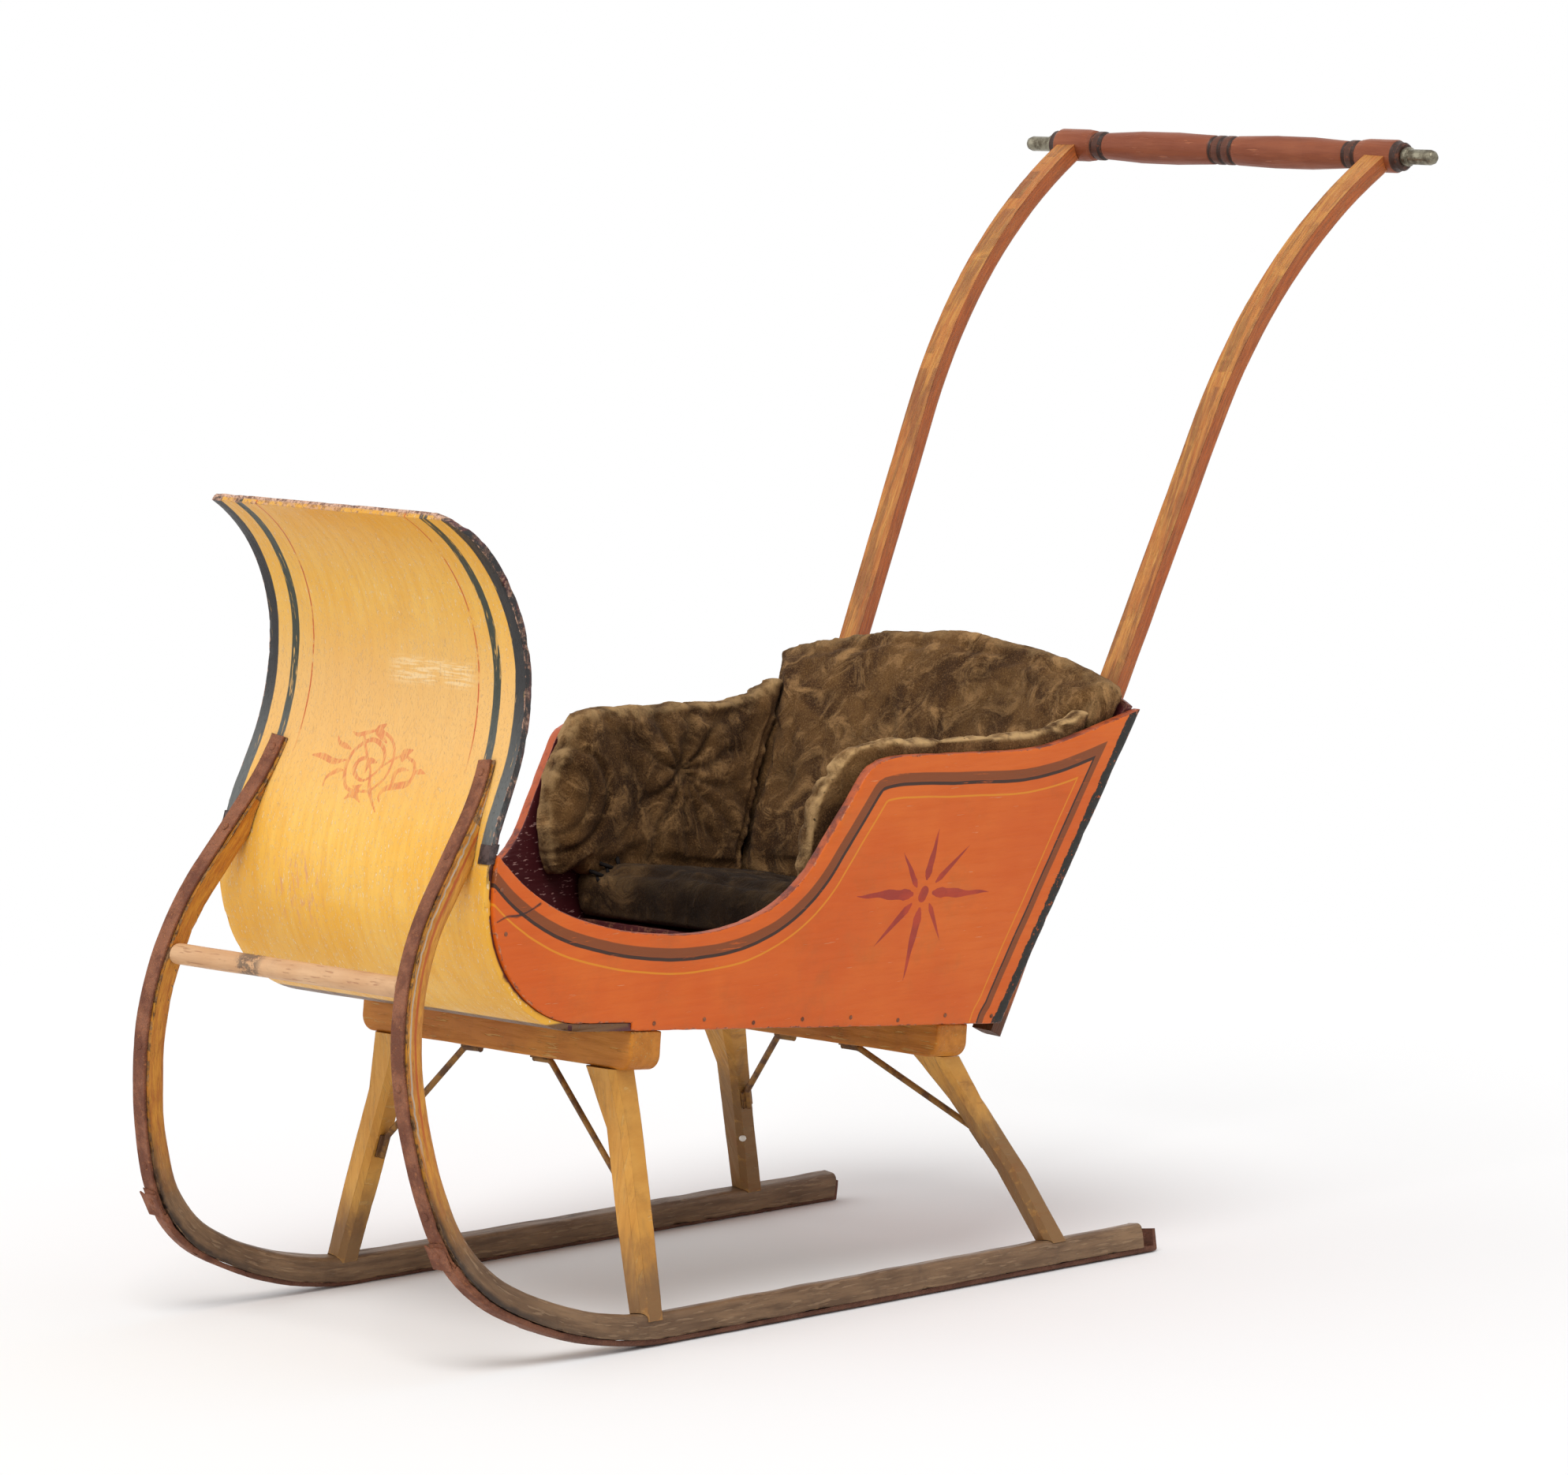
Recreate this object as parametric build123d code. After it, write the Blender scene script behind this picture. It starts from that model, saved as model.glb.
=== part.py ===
from build123d import *
from math import cos, pi, radians, sin, tan
import os

# Child's push sled: a painted tub on two bolsters and four splayed legs, two iron-shod
# runners whose curls are nailed to the bent dash, and a turned push bar on two bent arms.
# Millimetres. +X points forward to the dash, +Y to the rider's left, Z = 0 is the sole.
# Side views are drawn in (x, z) from a station line near the tub's middle, and the last
# step moves every piece so that the origin is at the middle of the footprint.

fit = 0.2           # clearance of a turned tenon in its hole
soft_gap = 0.3      # clearance round a cushion

# Tub: its floor climbs forward by tub_pitch from the rear bottom corner
tub_rear_x = -92.5
tub_rear_z = 218.4
tub_pitch = 5.36
tub_half_width = 168.0      # outside, along the bottom
tub_rake = 26.0             # lean of the back from upright
side_thickness = 10.0
floor_thickness = 10.0
back_thickness = 10.0
dash_thickness = 7.0
rear_corner_height = 299.0  # along the rake, from the bottom to the rim
back_arch_rise = 42.0       # how far the back's top rises above its corners

# How far the sides lean out, as millimetres of width for each millimetre of height
# columns: distance forward of the tub's rear bottom corner, lean
side_flare = [(-260.0, 0.168), (-20.0, 0.150), (235.0, 0.130), (590.0, 0.0), (680.0, 0.0)]
flare_floor_depth = 30.0
flare_height = 360.0
view_room = 2000.0          # reaches beyond every piece, for the far sides of cutting shapes

# Rim of a side from the rear corner to the dash
# columns: length of a straight run or radius of an arc, turn in degrees
rim_heading = -13.3
rim_line = [
    (78.0, 0.0),
    (280.0, 16.2),
    (120.0, 0.0),
    (150.0, -12.5),
    (33.0, -45.2),
    (78.0, 0.0),
    (115.0, 36.9),
    (215.0, 19.6),
    (434.0, 17.6),
    (200.0, 28.4),
    (40.0, 0.0),
]

side_front_room = 40.0      # how far a side's board is drawn past its rim's end, before the dash cuts it

# Dash, front face, from its end over the front bolster up to the rolled top
# columns: length of a straight run or radius of an arc, turn in degrees
dash_station = 446.6        # where it starts, forward of the tub's rear bottom corner
dash_line = [
    (60.0, 0.0),
    (112.0, 90.0 - tub_pitch),
    (165.0, 27.0),
    (30.0, 0.0),
    (200.0, -27.0),
    (143.5, -59.0),
]
# The dash's waisted front view, worn narrower on the rider's left
# columns: height, how far its left and its right edge stand inside the tub's width
dash_narrowing = [
    (240.0, 0.0, 0.0),
    (330.0, 4.0, 4.0),
    (430.0, 4.0, 3.0),
    (565.0, 11.0, 8.0),
    (700.0, 25.0, 17.0),
]
dash_left_corner_radius = 34.0
dash_right_corner_radius = 6.0

# Bolsters: cross beams under the tub
# columns: distance forward of the tub's rear bottom corner, length along the sled, height,
# how far each end stands inside the tub's width
bolsters = {"front": (427.0, 36.0, 34.0, 1.0), "rear": (53.0, 38.0, 30.0, 6.0)}
bolster_end_radius = 14.0
bolster_edge_radius = 3.0

# Runners: bent wood in a plane that leans in, shod with iron
runner_outset = 24.5        # from the tub's side out to a runner, on the ground
runner_gauge = tub_half_width + runner_outset
runner_lean = 7.5
runner_width = 21.0
runner_rear_x = -241.0
runner_flat_end_x = 334.0
shoe_thickness = 5.0
shoe_width = 17.0
strap_thickness = 3.0
strap_width = 15.5
runner_edge_radius = 6.0
strap_edge_radius = 1.2
shoe_round = 3.2
lip_thickness = 4.0
runner_flat_depth = 22.0
# columns: length or radius of the outer line of the iron, turn in degrees
curl_line = [
    (400.0, 28.0),
    (140.0, 44.0),
    (382.0, 18.0),
    (240.0, 38.5),
    (77.0, 0.0),
    (195.0, -15.2),
]
# the inner line of the wood, with its own radii because the curl thins towards its top
curl_inner_line = [
    (372.0, 28.0),
    (122.0, 44.0),
    (334.0, 18.0),
    (216.0, 38.5),
    (118.0, 0.0),
]
strap_start_turn = 38.0     # degrees of the curl's second arc that the shoe covers
shoe_lap = 26.0             # how far the shoe runs on over the strap's end
shoe_lip_height = 20.0
# columns: side, how far the shoe's turned-up lip stands behind the runner
shoe_overhang = {"left": 18.5, "right": 5.0}

# Legs
leg_chamfer = 5.0
leg_top_inset = 40.5        # from the tub's side to the middle of a leg's top
leg_foot_height = 22.0      # where a leg's middle stands over the runner's
# columns: height, x of the middle, share of the way out from top to foot, size along x, along y
leg_sections = {
    "front": [
        (leg_foot_height, 356.5, 1.0, 25.0, 23.0),
        (100.0, 349.0, 0.655, 26.5, 26.0),
        (176.0, 341.0, 0.32, 26.0, 26.0),
        (236.0, 342.0, 0.0, 31.0, 38.0),
    ],
    "rear": [
        (leg_foot_height, -136.0, 1.0, 26.0, 21.0),
        (88.0, -106.0, 0.67, 24.0, 24.0),
        (152.0, -73.0, 0.27, 25.0, 25.0),
        (204.0, -42.0, 0.0, 32.0, 38.0),
    ],
}

# Braces: bent rod from a flat lug under the bolster to a flat lug on the leg's inner face
brace_diameter = 6.0
brace_lug_length = 20.0
brace_lug_width = 11.0
brace_lug_thickness = 2.5
brace_bend_radius = 9.0
rod_seat_gap = 0.1          # between the round rod and what its lugs lie on
# columns: which leg, from the leg's top inboard to the upper lug, height where the rod meets the leg
brace_seats = {"front": (84.5, 126.0), "rear": (87.5, 118.0)}

# Dowel between the runner curls
dowel_diameter = 18.0
dowel_place = 0.50          # share of the curl's upper arc below the dowel
dowel_heading = 107.0       # heading of the curl there
dowel_depth = 9.0           # from the wood's front to the dowel's middle
dowel_tenon_diameter = 10.0
dowel_tenon_length = 12.0

# Push handle: two bent arms and a turned bar
arm_depth = 17.0
arm_width = 23.0
arm_splay = 2.7             # lean of the arms outwards
arm_foot_inset = 20.5       # from the tub's side to an arm's middle
arm_foot_z = 212.0
arm_bend_radius = 529.0
arm_bend = 33.1
arm_straight = 578.0
arm_end_run = 18.0          # from the bend to the bar's middle
arm_edge_radius = 5.0
bar_seat_diameter = 30.0
bar_tenon_diameter = 13.0
tip_spigot_diameter = 8.0
tip_spigot_length = 20.0
# middle of the turned bar; columns: distance from the centre plane, diameter
bar_middle_turning = [
    (0.0, 24.0),
    (3.0, 27.0),
    (9.0, 27.0),
    (12.0, 23.0),
    (15.0, 27.0),
    (60.0, 30.0),
    (105.0, 29.5),
]
# its end over an arm; columns: distance outwards from the middle of the arm's foot, diameter
bar_end_turning = [
    (-1.5, 25.0),
    (1.5, 22.0),
    (4.5, 27.0),
    (10.5, 27.0),
    (13.5, 23.0),
    (16.5, 28.0),
    (24.5, 30.0),
    (56.5, 30.0),
    (60.5, 26.0),
    (64.5, 26.0),
    (66.5, 22.0),
]
# metal cap at each end of the bar; columns: distance outwards from the bar's end, diameter
tip_turning = [
    (0.0, 18.0),
    (5.0, 18.0),
    (6.5, 14.4),
    (29.0, 14.4),
    (33.0, 12.0),
    (35.5, 7.0),
    (36.0, 2.0),
]

# Seat: a board on a riser and four pads
seat_height = 51.0          # underside of the seat board above the tub's underside
seat_board_thickness = 10.0
seat_front = 195.0          # distance forward of the tub's rear bottom corner
riser_thickness = 10.0
riser_inset = 6.0           # behind the seat board's front edge
seat_pad_thickness = 34.0
seat_pad_front = 202.0
back_pad_thickness = 30.0
back_pad_corner_rise = 10.0  # how far the back pad stands above the back's corners
back_pad_rise = 3.0        # and above the middle of its arch
side_pad_thickness = 22.0
side_pad_rise = 14.0
side_pad_front = 242.0
side_pad_corner_radius = 38.0


# Clips that tie the rims to the dash
clip_thickness = 1.0
clip_width = 12.0
clip_length = 16.0
clip_height = 421.0


def heading_vector(heading):
    return Vector(cos(radians(heading)), sin(radians(heading)))


def run_line(start, heading, steps, left=0.0):
    # Tangent runs and arcs; `left` moves the whole line to its left, with the same centres.
    point = Vector(*start) + heading_vector(heading + 90.0) * left
    edges = []
    for size, turn in steps:
        if turn == 0.0:
            edge = Line(point, point + heading_vector(heading) * size)
        else:
            radius = size - left if turn > 0.0 else size + left
            edge = JernArc(start=point, tangent=heading_vector(heading), radius=radius, arc_size=turn)
        edges.append(edge)
        point = edge @ 1
        heading += turn
    return edges, point, heading


def close_face(edges, corners):
    # Joins the end of the edges to their start by straight lines through the corners.
    points = [edges[-1] @ 1] + [Vector(*corner) for corner in corners] + [edges[0] @ 0]
    lines = [Line(a, b) for a, b in zip(points, points[1:]) if (b - a).length > 1e-6]
    return make_face(edges + lines)


def side_solid(face):
    # A side view pushed out far to both sides of the centre plane
    return extrude(Plane.XZ * face, amount=view_room, both=True)


def half_space(x=0, y=0, z=0):
    # All that lies on one side, 1 or -1, of a plane through the origin
    sides = {-1: Align.MAX, 0: Align.CENTER, 1: Align.MIN}
    return Box(2 * view_room, 2 * view_room, 2 * view_room, align=(sides[x], sides[y], sides[z]))


def layer(low, high):
    # All that lies between two heights
    return Pos(0, 0, low) * Box(
        2 * view_room, 2 * view_room, high - low, align=(Align.CENTER, Align.CENTER, Align.MIN)
    )


def between(rows, place):
    # The columns of a table at a place between its rows, which ascend by their first column
    for (a, *low), (b, *high) in zip(rows, rows[1:]):
        if a <= place <= b:
            share = (place - a) / (b - a)
            return [v + (w - v) * share for v, w in zip(low, high)]


def in_tub(shape):
    return Pos(tub_rear_x, 0, tub_rear_z) * Rot(0, -tub_pitch, 0) * shape


def tub_wedge(inset):
    # The space between the flared sides, `inset` inside their outer faces
    sections = []
    for x, lean in side_flare:
        low = tub_half_width - inset - lean * flare_floor_depth
        high = tub_half_width - inset + lean * flare_height
        outline = Polyline(
            (-low, -flare_floor_depth), (low, -flare_floor_depth), (high, flare_height),
            (-high, flare_height), (-low, -flare_floor_depth),
        )
        sections.append(Plane((x, 0, 0), x_dir=(0, 1, 0), z_dir=(1, 0, 0)) * make_face(outline))
    return in_tub(loft(sections, ruled=True))


def mirrored(shape):
    return mirror(shape, about=Plane.XZ)


def rake_direction():
    return Vector(-sin(radians(tub_rake)), cos(radians(tub_rake)))


def side_outline():
    bottom = Vector(tub_rear_x, tub_rear_z)
    start = bottom + rake_direction() * rear_corner_height
    rim, end, heading = run_line((start.X, start.Y), rim_heading, rim_line)
    front_x = end.X + side_front_room
    front_bottom = bottom + heading_vector(tub_pitch) * (front_x - bottom.X)
    return close_face(rim, [(front_x, end.Y), (front_bottom.X, front_bottom.Y), (bottom.X, bottom.Y)])


def dash_curve(depth):
    # The dash's side view, `depth` behind its front face
    bottom = Vector(tub_rear_x, tub_rear_z) + heading_vector(tub_pitch) * dash_station
    edges, end, heading = run_line((bottom.X, bottom.Y), tub_pitch, dash_line, left=depth)
    return edges


def band(front, back):
    # The closed view between two lines that run the same way
    return make_face(front + back + [Line(front[-1] @ 1, back[-1] @ 1), Line(front[0] @ 0, back[0] @ 0)])


def ahead_of_dash(depth):
    # Everything in front of a surface `depth` behind the dash's front face
    edges = dash_curve(depth)
    low, high = edges[0] @ 0, edges[-1] @ 1
    above = high.Y + view_room
    return close_face(edges, [(high.X, above), (view_room, above), (view_room, 0), (low.X, 0)])


parts = {}

def behind_rake(depth):
    # Everything behind a plane parallel to the back, `depth` ahead of the tub's rear edge
    return Pos(tub_rear_x, 0, tub_rear_z) * Rot(0, -tub_rake, 0) * Pos(depth, 0, 0) * half_space(x=-1)


def behind_station(station):
    # Everything behind a plane square to the floor
    return in_tub(Pos(station, 0, 0) * half_space(x=-1))


# Side boards: the flared walls, cut to the rim and to the back of the dash
walls = tub_wedge(0.0) - tub_wedge(side_thickness)
side = walls & side_solid(side_outline() - ahead_of_dash(dash_thickness)) & half_space(y=1)
parts["side_panel_left"] = side
parts["side_panel_right"] = mirrored(side)

# Dash: a bent board of even thickness, trimmed to its waisted front view
dash_face = band(dash_curve(0.0), dash_curve(dash_thickness))
left_edge = [(tub_half_width - left, height) for height, left, right in dash_narrowing]
right_edge = [(right - tub_half_width, height) for height, left, right in dash_narrowing]
front_view = make_face(Polyline(left_edge + right_edge[::-1] + left_edge[:1]))
front_view = fillet(front_view.vertices().sort_by(Axis.Y)[-2:].sort_by(Axis.X)[-1], dash_left_corner_radius)
front_view = fillet(front_view.vertices().sort_by(Axis.Y)[-3:].sort_by(Axis.X)[0], dash_right_corner_radius)
dash_trim = extrude(Plane((0, 0, 0), x_dir=(0, 1, 0), z_dir=(1, 0, 0)) * front_view, amount=view_room)
parts["dash_board"] = side_solid(dash_face) & dash_trim

# Floor between the sides, from the back to the end of the dash
inside = tub_wedge(side_thickness)
behind_back = behind_rake(back_thickness)
floor_board = in_tub(layer(0.0, floor_thickness)) & inside & behind_station(dash_station)
parts["floor_board"] = floor_board - behind_back

# Back between the sides, with an arched top
corner_x = rear_corner_height * -sin(radians(tub_rake - tub_pitch))
corner_half_width = tub_half_width - side_thickness + between(side_flare, corner_x)[0] * rear_corner_height
arch_top = rear_corner_height + back_arch_rise
rake_plane = Plane(
    (tub_rear_x, 0, tub_rear_z), x_dir=(0, 1, 0),
    z_dir=(cos(radians(tub_rake)), 0, sin(radians(tub_rake))),
)


def arched_slab(depth, thickness, corner_height, top_height):
    # A slab parallel to the back, under an arc through its two corners and its top
    rise = top_height - corner_height
    radius = (corner_half_width ** 2 + rise ** 2) / (2 * rise)
    disc = Pos(0, top_height - radius) * Circle(radius)
    return extrude(rake_plane.offset(depth) * disc, amount=thickness)


below_tub = in_tub(half_space(z=-1))
parts["back_panel"] = (arched_slab(0.0, back_thickness, rear_corner_height, arch_top) & inside) - below_tub

# Seat board and its riser
seat_top = seat_height + seat_board_thickness
seat_slab = in_tub(layer(seat_height, seat_top)) & behind_station(seat_front)
parts["seat_board"] = (seat_slab & inside) - behind_back
riser_front = seat_front - riser_inset
riser = in_tub(layer(floor_thickness, seat_height)) & behind_station(riser_front)
parts["seat_riser"] = (riser - behind_station(riser_front - riser_thickness)) & inside

# Pads: plain solids that fill the seat, a small clearance off the boards
pad_room = tub_wedge(side_thickness + soft_gap)
pad_bottom = seat_top + soft_gap
pad_top = pad_bottom + seat_pad_thickness
back_pad_depth = back_thickness + soft_gap
seat_pad = in_tub(layer(pad_bottom, pad_top)) & behind_station(seat_pad_front)
parts["seat_cushion"] = (seat_pad & pad_room) - behind_rake(back_pad_depth)
under_pads = in_tub(Pos(0, 0, pad_top + soft_gap) * half_space(z=-1))
back_pad = arched_slab(
    back_pad_depth, back_pad_thickness, rear_corner_height + back_pad_corner_rise, arch_top + back_pad_rise
)
parts["back_cushion"] = (back_pad & pad_room) - under_pads

# A side pad stands a little above the rim, and its top is rounded over at the front
behind_side_pad = behind_rake(back_pad_depth + back_pad_thickness + soft_gap)
pad_end = Pos(tub_rear_x, tub_rear_z) * Rot(0, 0, tub_pitch) * Pos(side_pad_front, 0) * Rectangle(
    view_room, view_room, align=(Align.MAX, Align.CENTER)
)
pad_view = (side_outline().moved(Location((0, side_pad_rise, 0))) & pad_end).face()
pad_corner = pad_view.vertices().sort_by(Axis.X)[-2:].sort_by(Axis.Y)[-1]
pad_view = fillet(pad_corner, side_pad_corner_radius)
side_pad = (pad_room - tub_wedge(side_thickness + soft_gap + side_pad_thickness)) & side_solid(pad_view)
side_pad = (side_pad & half_space(y=1)) - behind_side_pad - under_pads
parts["side_cushion_left"] = side_pad
parts["side_cushion_right"] = mirrored(side_pad)

# Bolsters under the tub, their lower ends rounded
for end, (station, length, height, inset) in bolsters.items():
    half_width = tub_half_width - inset
    corners = [(half_width, 0), (-half_width, 0), (-half_width, -height), (half_width, -height)]
    view = make_face(Polyline(corners + corners[:1]))
    view = fillet(view.vertices().sort_by(Axis.Y)[:2], bolster_end_radius)
    front = Plane((station + length / 2, 0, 0), x_dir=(0, 1, 0), z_dir=(1, 0, 0))
    beam = extrude(front * view, amount=-length)
    long_edges = [edge for edge in beam.edges().filter_by(Axis.Y) if edge.center().Z < -height / 2]
    parts[f"{end}_bolster"] = in_tub(fillet(long_edges, bolster_edge_radius))


runner_frame = Pos(0, runner_gauge, 0) * Rot(runner_lean, 0, 0)


def edges_at(shape, line, half_width):
    # Long edges of a runner solid, still in its own plane, that follow a line of its side view
    picked = []
    for edge in shape.edges():
        middle = edge @ 0.5
        flat = Vector(middle.X, middle.Z)
        on_side = abs(abs(middle.Y) - half_width) < 1e-3
        if on_side and min(piece.distance_to(Vertex(flat.X, flat.Y, 0)) for piece in line) < 1e-3:
            picked.append(edge)
    return picked


def rounded_runner_solid(face, width, line, radius):
    # A side view in the left runner's leaning plane, its long edges along `line` rounded
    solid = extrude(Plane.XZ * face, amount=width / 2, both=True)
    solid = fillet(edges_at(solid, line, width / 2), radius)
    return runner_frame * solid


# Runners: wood between the iron and an inner line of its own, cut to lie on the dash
flat_run = (runner_flat_end_x - runner_rear_x, 0.0)
wood_edges, wood_end, wood_heading = run_line(
    (runner_rear_x, 0.0), 0.0, [flat_run] + curl_line, left=shoe_thickness
)
inner_edges, inner_end, inner_heading = run_line(
    (runner_rear_x, shoe_thickness + runner_flat_depth), 0.0, [flat_run] + curl_inner_line
)
runner_face = band(wood_edges, inner_edges)
runner = rounded_runner_solid(runner_face, runner_width, inner_edges, runner_edge_radius)
dash_seat = dash_curve(0.0)
dash_low, dash_high = dash_seat[0] @ 0, dash_seat[-1] @ 1
behind_dash = side_solid(close_face(
    dash_seat, [(dash_high.X, view_room), (tub_rear_x, view_room), (tub_rear_x, dash_low.Y)]
))
runner = runner - behind_dash

# Dowel between the curls, tenoned into both runners
curl_arc = wood_edges[4]
dowel_seat = curl_arc @ dowel_place + heading_vector(90.0 + dowel_heading) * dowel_depth
seat_point = (runner_frame * Pos(dowel_seat.X, 0, dowel_seat.Y)).position
outboard = runner_frame * Pos(0, -runner_width / 2, 0) * half_space(y=1)
along_y = Pos(seat_point.X, 0, seat_point.Z) * Rot(90, 0, 0)
dowel = along_y * Cylinder(dowel_diameter / 2, 2 * runner_gauge) - outboard - mirrored(outboard)
tenon_reach = seat_point.Y - runner_width / 2 + dowel_tenon_length
dowel = dowel + along_y * Cylinder(dowel_tenon_diameter / 2, 2 * tenon_reach)
parts["front_dowel"] = dowel
mortise = along_y * Cylinder(dowel_tenon_diameter / 2 + fit, 2 * (tenon_reach + fit))
runner = runner - mortise

# Iron: a half-round shoe under the runner that laps over the end of the flat strap
shoe_turn = (curl_line[1][0], strap_start_turn)
lap_turn = shoe_lap / curl_line[1][0] * 180.0 / pi
before_lap, lap_point, lap_heading = run_line(
    (runner_rear_x, 0.0), 0.0, [flat_run, curl_line[0], (curl_line[1][0], strap_start_turn - lap_turn)]
)
strap_face_depth = shoe_thickness - strap_thickness
strap_rows = [(curl_line[1][0], curl_line[1][1] - strap_start_turn + lap_turn)] + curl_line[2:]
strap_outer, outer_end, strap_heading = run_line(lap_point, lap_heading, strap_rows, left=strap_face_depth)
strap_inner, strap_inner_end, strap_inner_heading = run_line(
    lap_point, lap_heading, strap_rows, left=shoe_thickness
)
strap_view = band(strap_outer, strap_inner)
strap = rounded_runner_solid(strap_view, strap_width, strap_outer, strap_edge_radius) - behind_dash


def shoe_solid(overhang):
    # The shoe with its lip turned up behind the runner's end
    rear = runner_rear_x - overhang
    under = [(flat_run[0] + overhang, 0.0), curl_line[0]]
    outer, end, heading = run_line((rear, 0.0), 0.0, under + [shoe_turn])
    inner, inner_lap, heading = run_line(
        (rear + lip_thickness, 0.0), 0.0,
        [(under[0][0] - lip_thickness, 0.0), curl_line[0], (curl_line[1][0], strap_start_turn - lap_turn)],
        left=shoe_thickness,
    )
    lap, lap_end, heading = run_line(
        lap_point, lap_heading, [(curl_line[1][0], lap_turn)], left=strap_face_depth
    )
    view = make_face(
        outer + inner + lap + [
            Line(end, lap_end), Line(lap[0] @ 0, inner_lap),
            Line(inner[0] @ 0, Vector(rear + lip_thickness, shoe_lip_height)),
            Line(Vector(rear + lip_thickness, shoe_lip_height), Vector(rear, shoe_lip_height)),
            Line(Vector(rear, shoe_lip_height), outer[0] @ 0),
        ]
    )
    # the sole leans with its runner, and its low inner edge is worn flat on the ground
    return rounded_runner_solid(view, shoe_width, outer, shoe_round) - half_space(z=-1)


parts["runner_left"] = runner
parts["runner_right"] = mirrored(runner)
parts["strap_left"] = strap
parts["strap_right"] = mirrored(strap)
parts["shoe_left"] = shoe_solid(shoe_overhang["left"])
parts["shoe_right"] = mirrored(shoe_solid(shoe_overhang["right"]))

# Legs: chamfered posts, broad at the shoulder, seated on the runner and under the bolster
leg_top_y = tub_half_width - leg_top_inset
leg_foot_y = runner_gauge - leg_foot_height * tan(radians(runner_lean))


def leg_at(end, height):
    # Middle and sizes of a leg at a height between its sections
    x, share, size_x, size_y = between(leg_sections[end], height)
    return x, leg_top_y + (leg_foot_y - leg_top_y) * share, size_x, size_y


for end, rows in leg_sections.items():
    sections = []
    for height, *columns in rows:
        x, y, size_x, size_y = leg_at(end, height)
        square = Plane((x, y, height)) * Rectangle(size_x, size_y)
        sections.append(chamfer(square.vertices(), leg_chamfer))
    above_bolster = in_tub(Pos(0, 0, -bolsters[end][2]) * half_space(z=1))
    leg = loft(sections, ruled=True) - above_bolster - runner
    parts[f"leg_{end}_left"] = leg
    parts[f"leg_{end}_right"] = mirrored(leg)

# Braces: each a bent rod between two flattened lugs
rod_off = brace_diameter / 2 + rod_seat_gap
for end, (inboard, height) in brace_seats.items():
    lug_y = leg_top_y - inboard
    station, length, bolster_height, inset = bolsters[end]
    top_lug = in_tub(Pos(station, lug_y, -bolster_height) * Box(
        brace_lug_width, brace_lug_length, brace_lug_thickness, align=(Align.CENTER, Align.CENTER, Align.MAX)
    ))
    reach = brace_lug_length / 2
    x1, y1, sx1, sy1 = leg_at(end, height + reach)
    x0, y0, sx0, sy0 = leg_at(end, height - reach)
    along = Vector(x1 - x0, (y1 - sy1 / 2) - (y0 - sy0 / 2), 2 * reach).normalized()
    outward = Vector(1, 0, 0).cross(along).normalized()
    if outward.Y > 0:
        outward = outward * -1
    middle = Vector((x0 + x1) / 2, (y0 + y1) / 2 - (sy0 + sy1) / 4, height)
    low_lug = Plane(middle, x_dir=along, z_dir=outward) * Box(
        brace_lug_length, brace_lug_width, brace_lug_thickness, align=(Align.CENTER, Align.CENTER, Align.MIN)
    )
    under = [(in_tub(Pos(station, lug_y + shift, -bolster_height - rod_off))).position for shift in (-reach, reach)]
    on_leg = [middle + along * shift + outward * rod_off for shift in (reach, -reach)]
    path = FilletPolyline(*under, *on_leg, radius=brace_bend_radius)
    rod = sweep(Plane(path @ 0, z_dir=path % 0) * Circle(brace_diameter / 2), path=path)
    brace = rod + top_lug + low_lug
    parts[f"brace_{end}_left"] = brace
    parts[f"brace_{end}_right"] = mirrored(brace)

# Push handle: each arm lies on the back's rear face, runs up its rake and bends over to the bar
arm_foot_y = tub_half_width - arm_foot_inset
arm_foot_x = tub_rear_x - (arm_foot_z - tub_rear_z) * tan(radians(tub_rake))
arm_rows = [(arm_straight, 0.0), (arm_bend_radius + arm_depth / 2, arm_bend), (arm_end_run, 0.0)]
arm_front, arm_front_end, arm_heading = run_line((arm_foot_x, arm_foot_z), 90.0 + tub_rake, arm_rows)
arm_rear, arm_rear_end, arm_heading = run_line(
    (arm_foot_x, arm_foot_z), 90.0 + tub_rake, arm_rows, left=arm_depth
)
arm = extrude(Plane.XZ * band(arm_front, arm_rear), amount=arm_width / 2, both=True)
long_edges = edges_at(arm, arm_rear, arm_width / 2)
arm = fillet(long_edges, arm_edge_radius)
bar_x, bar_z = (arm_front_end.X + arm_rear_end.X) / 2, (arm_front_end.Y + arm_rear_end.Y) / 2
# the arm swings outwards in the plane of the back, about its foot
foot = Plane(
    (arm_foot_x, arm_foot_y, arm_foot_z), x_dir=(0, 1, 0),
    z_dir=(cos(radians(tub_rake)), 0, sin(radians(tub_rake))),
).location
swing = foot * Rot(0, 0, -arm_splay) * foot.inverse()
arm = swing * Pos(0, arm_foot_y, 0) * arm
arm_end = swing * Pos(bar_x, arm_foot_y, bar_z) * Rot(0, 90.0 - arm_heading, 0)
bar_x, arm_top_y, bar_z = arm_end.position


def turned(rows):
    # A turning about Y from a table of distance and diameter
    outline = [(0.0, rows[0][0])] + [(size / 2, place) for place, size in rows] + [(0.0, rows[-1][0])]
    return revolve(make_face(Polyline(outline + outline[:1])), Axis.Y)


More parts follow.
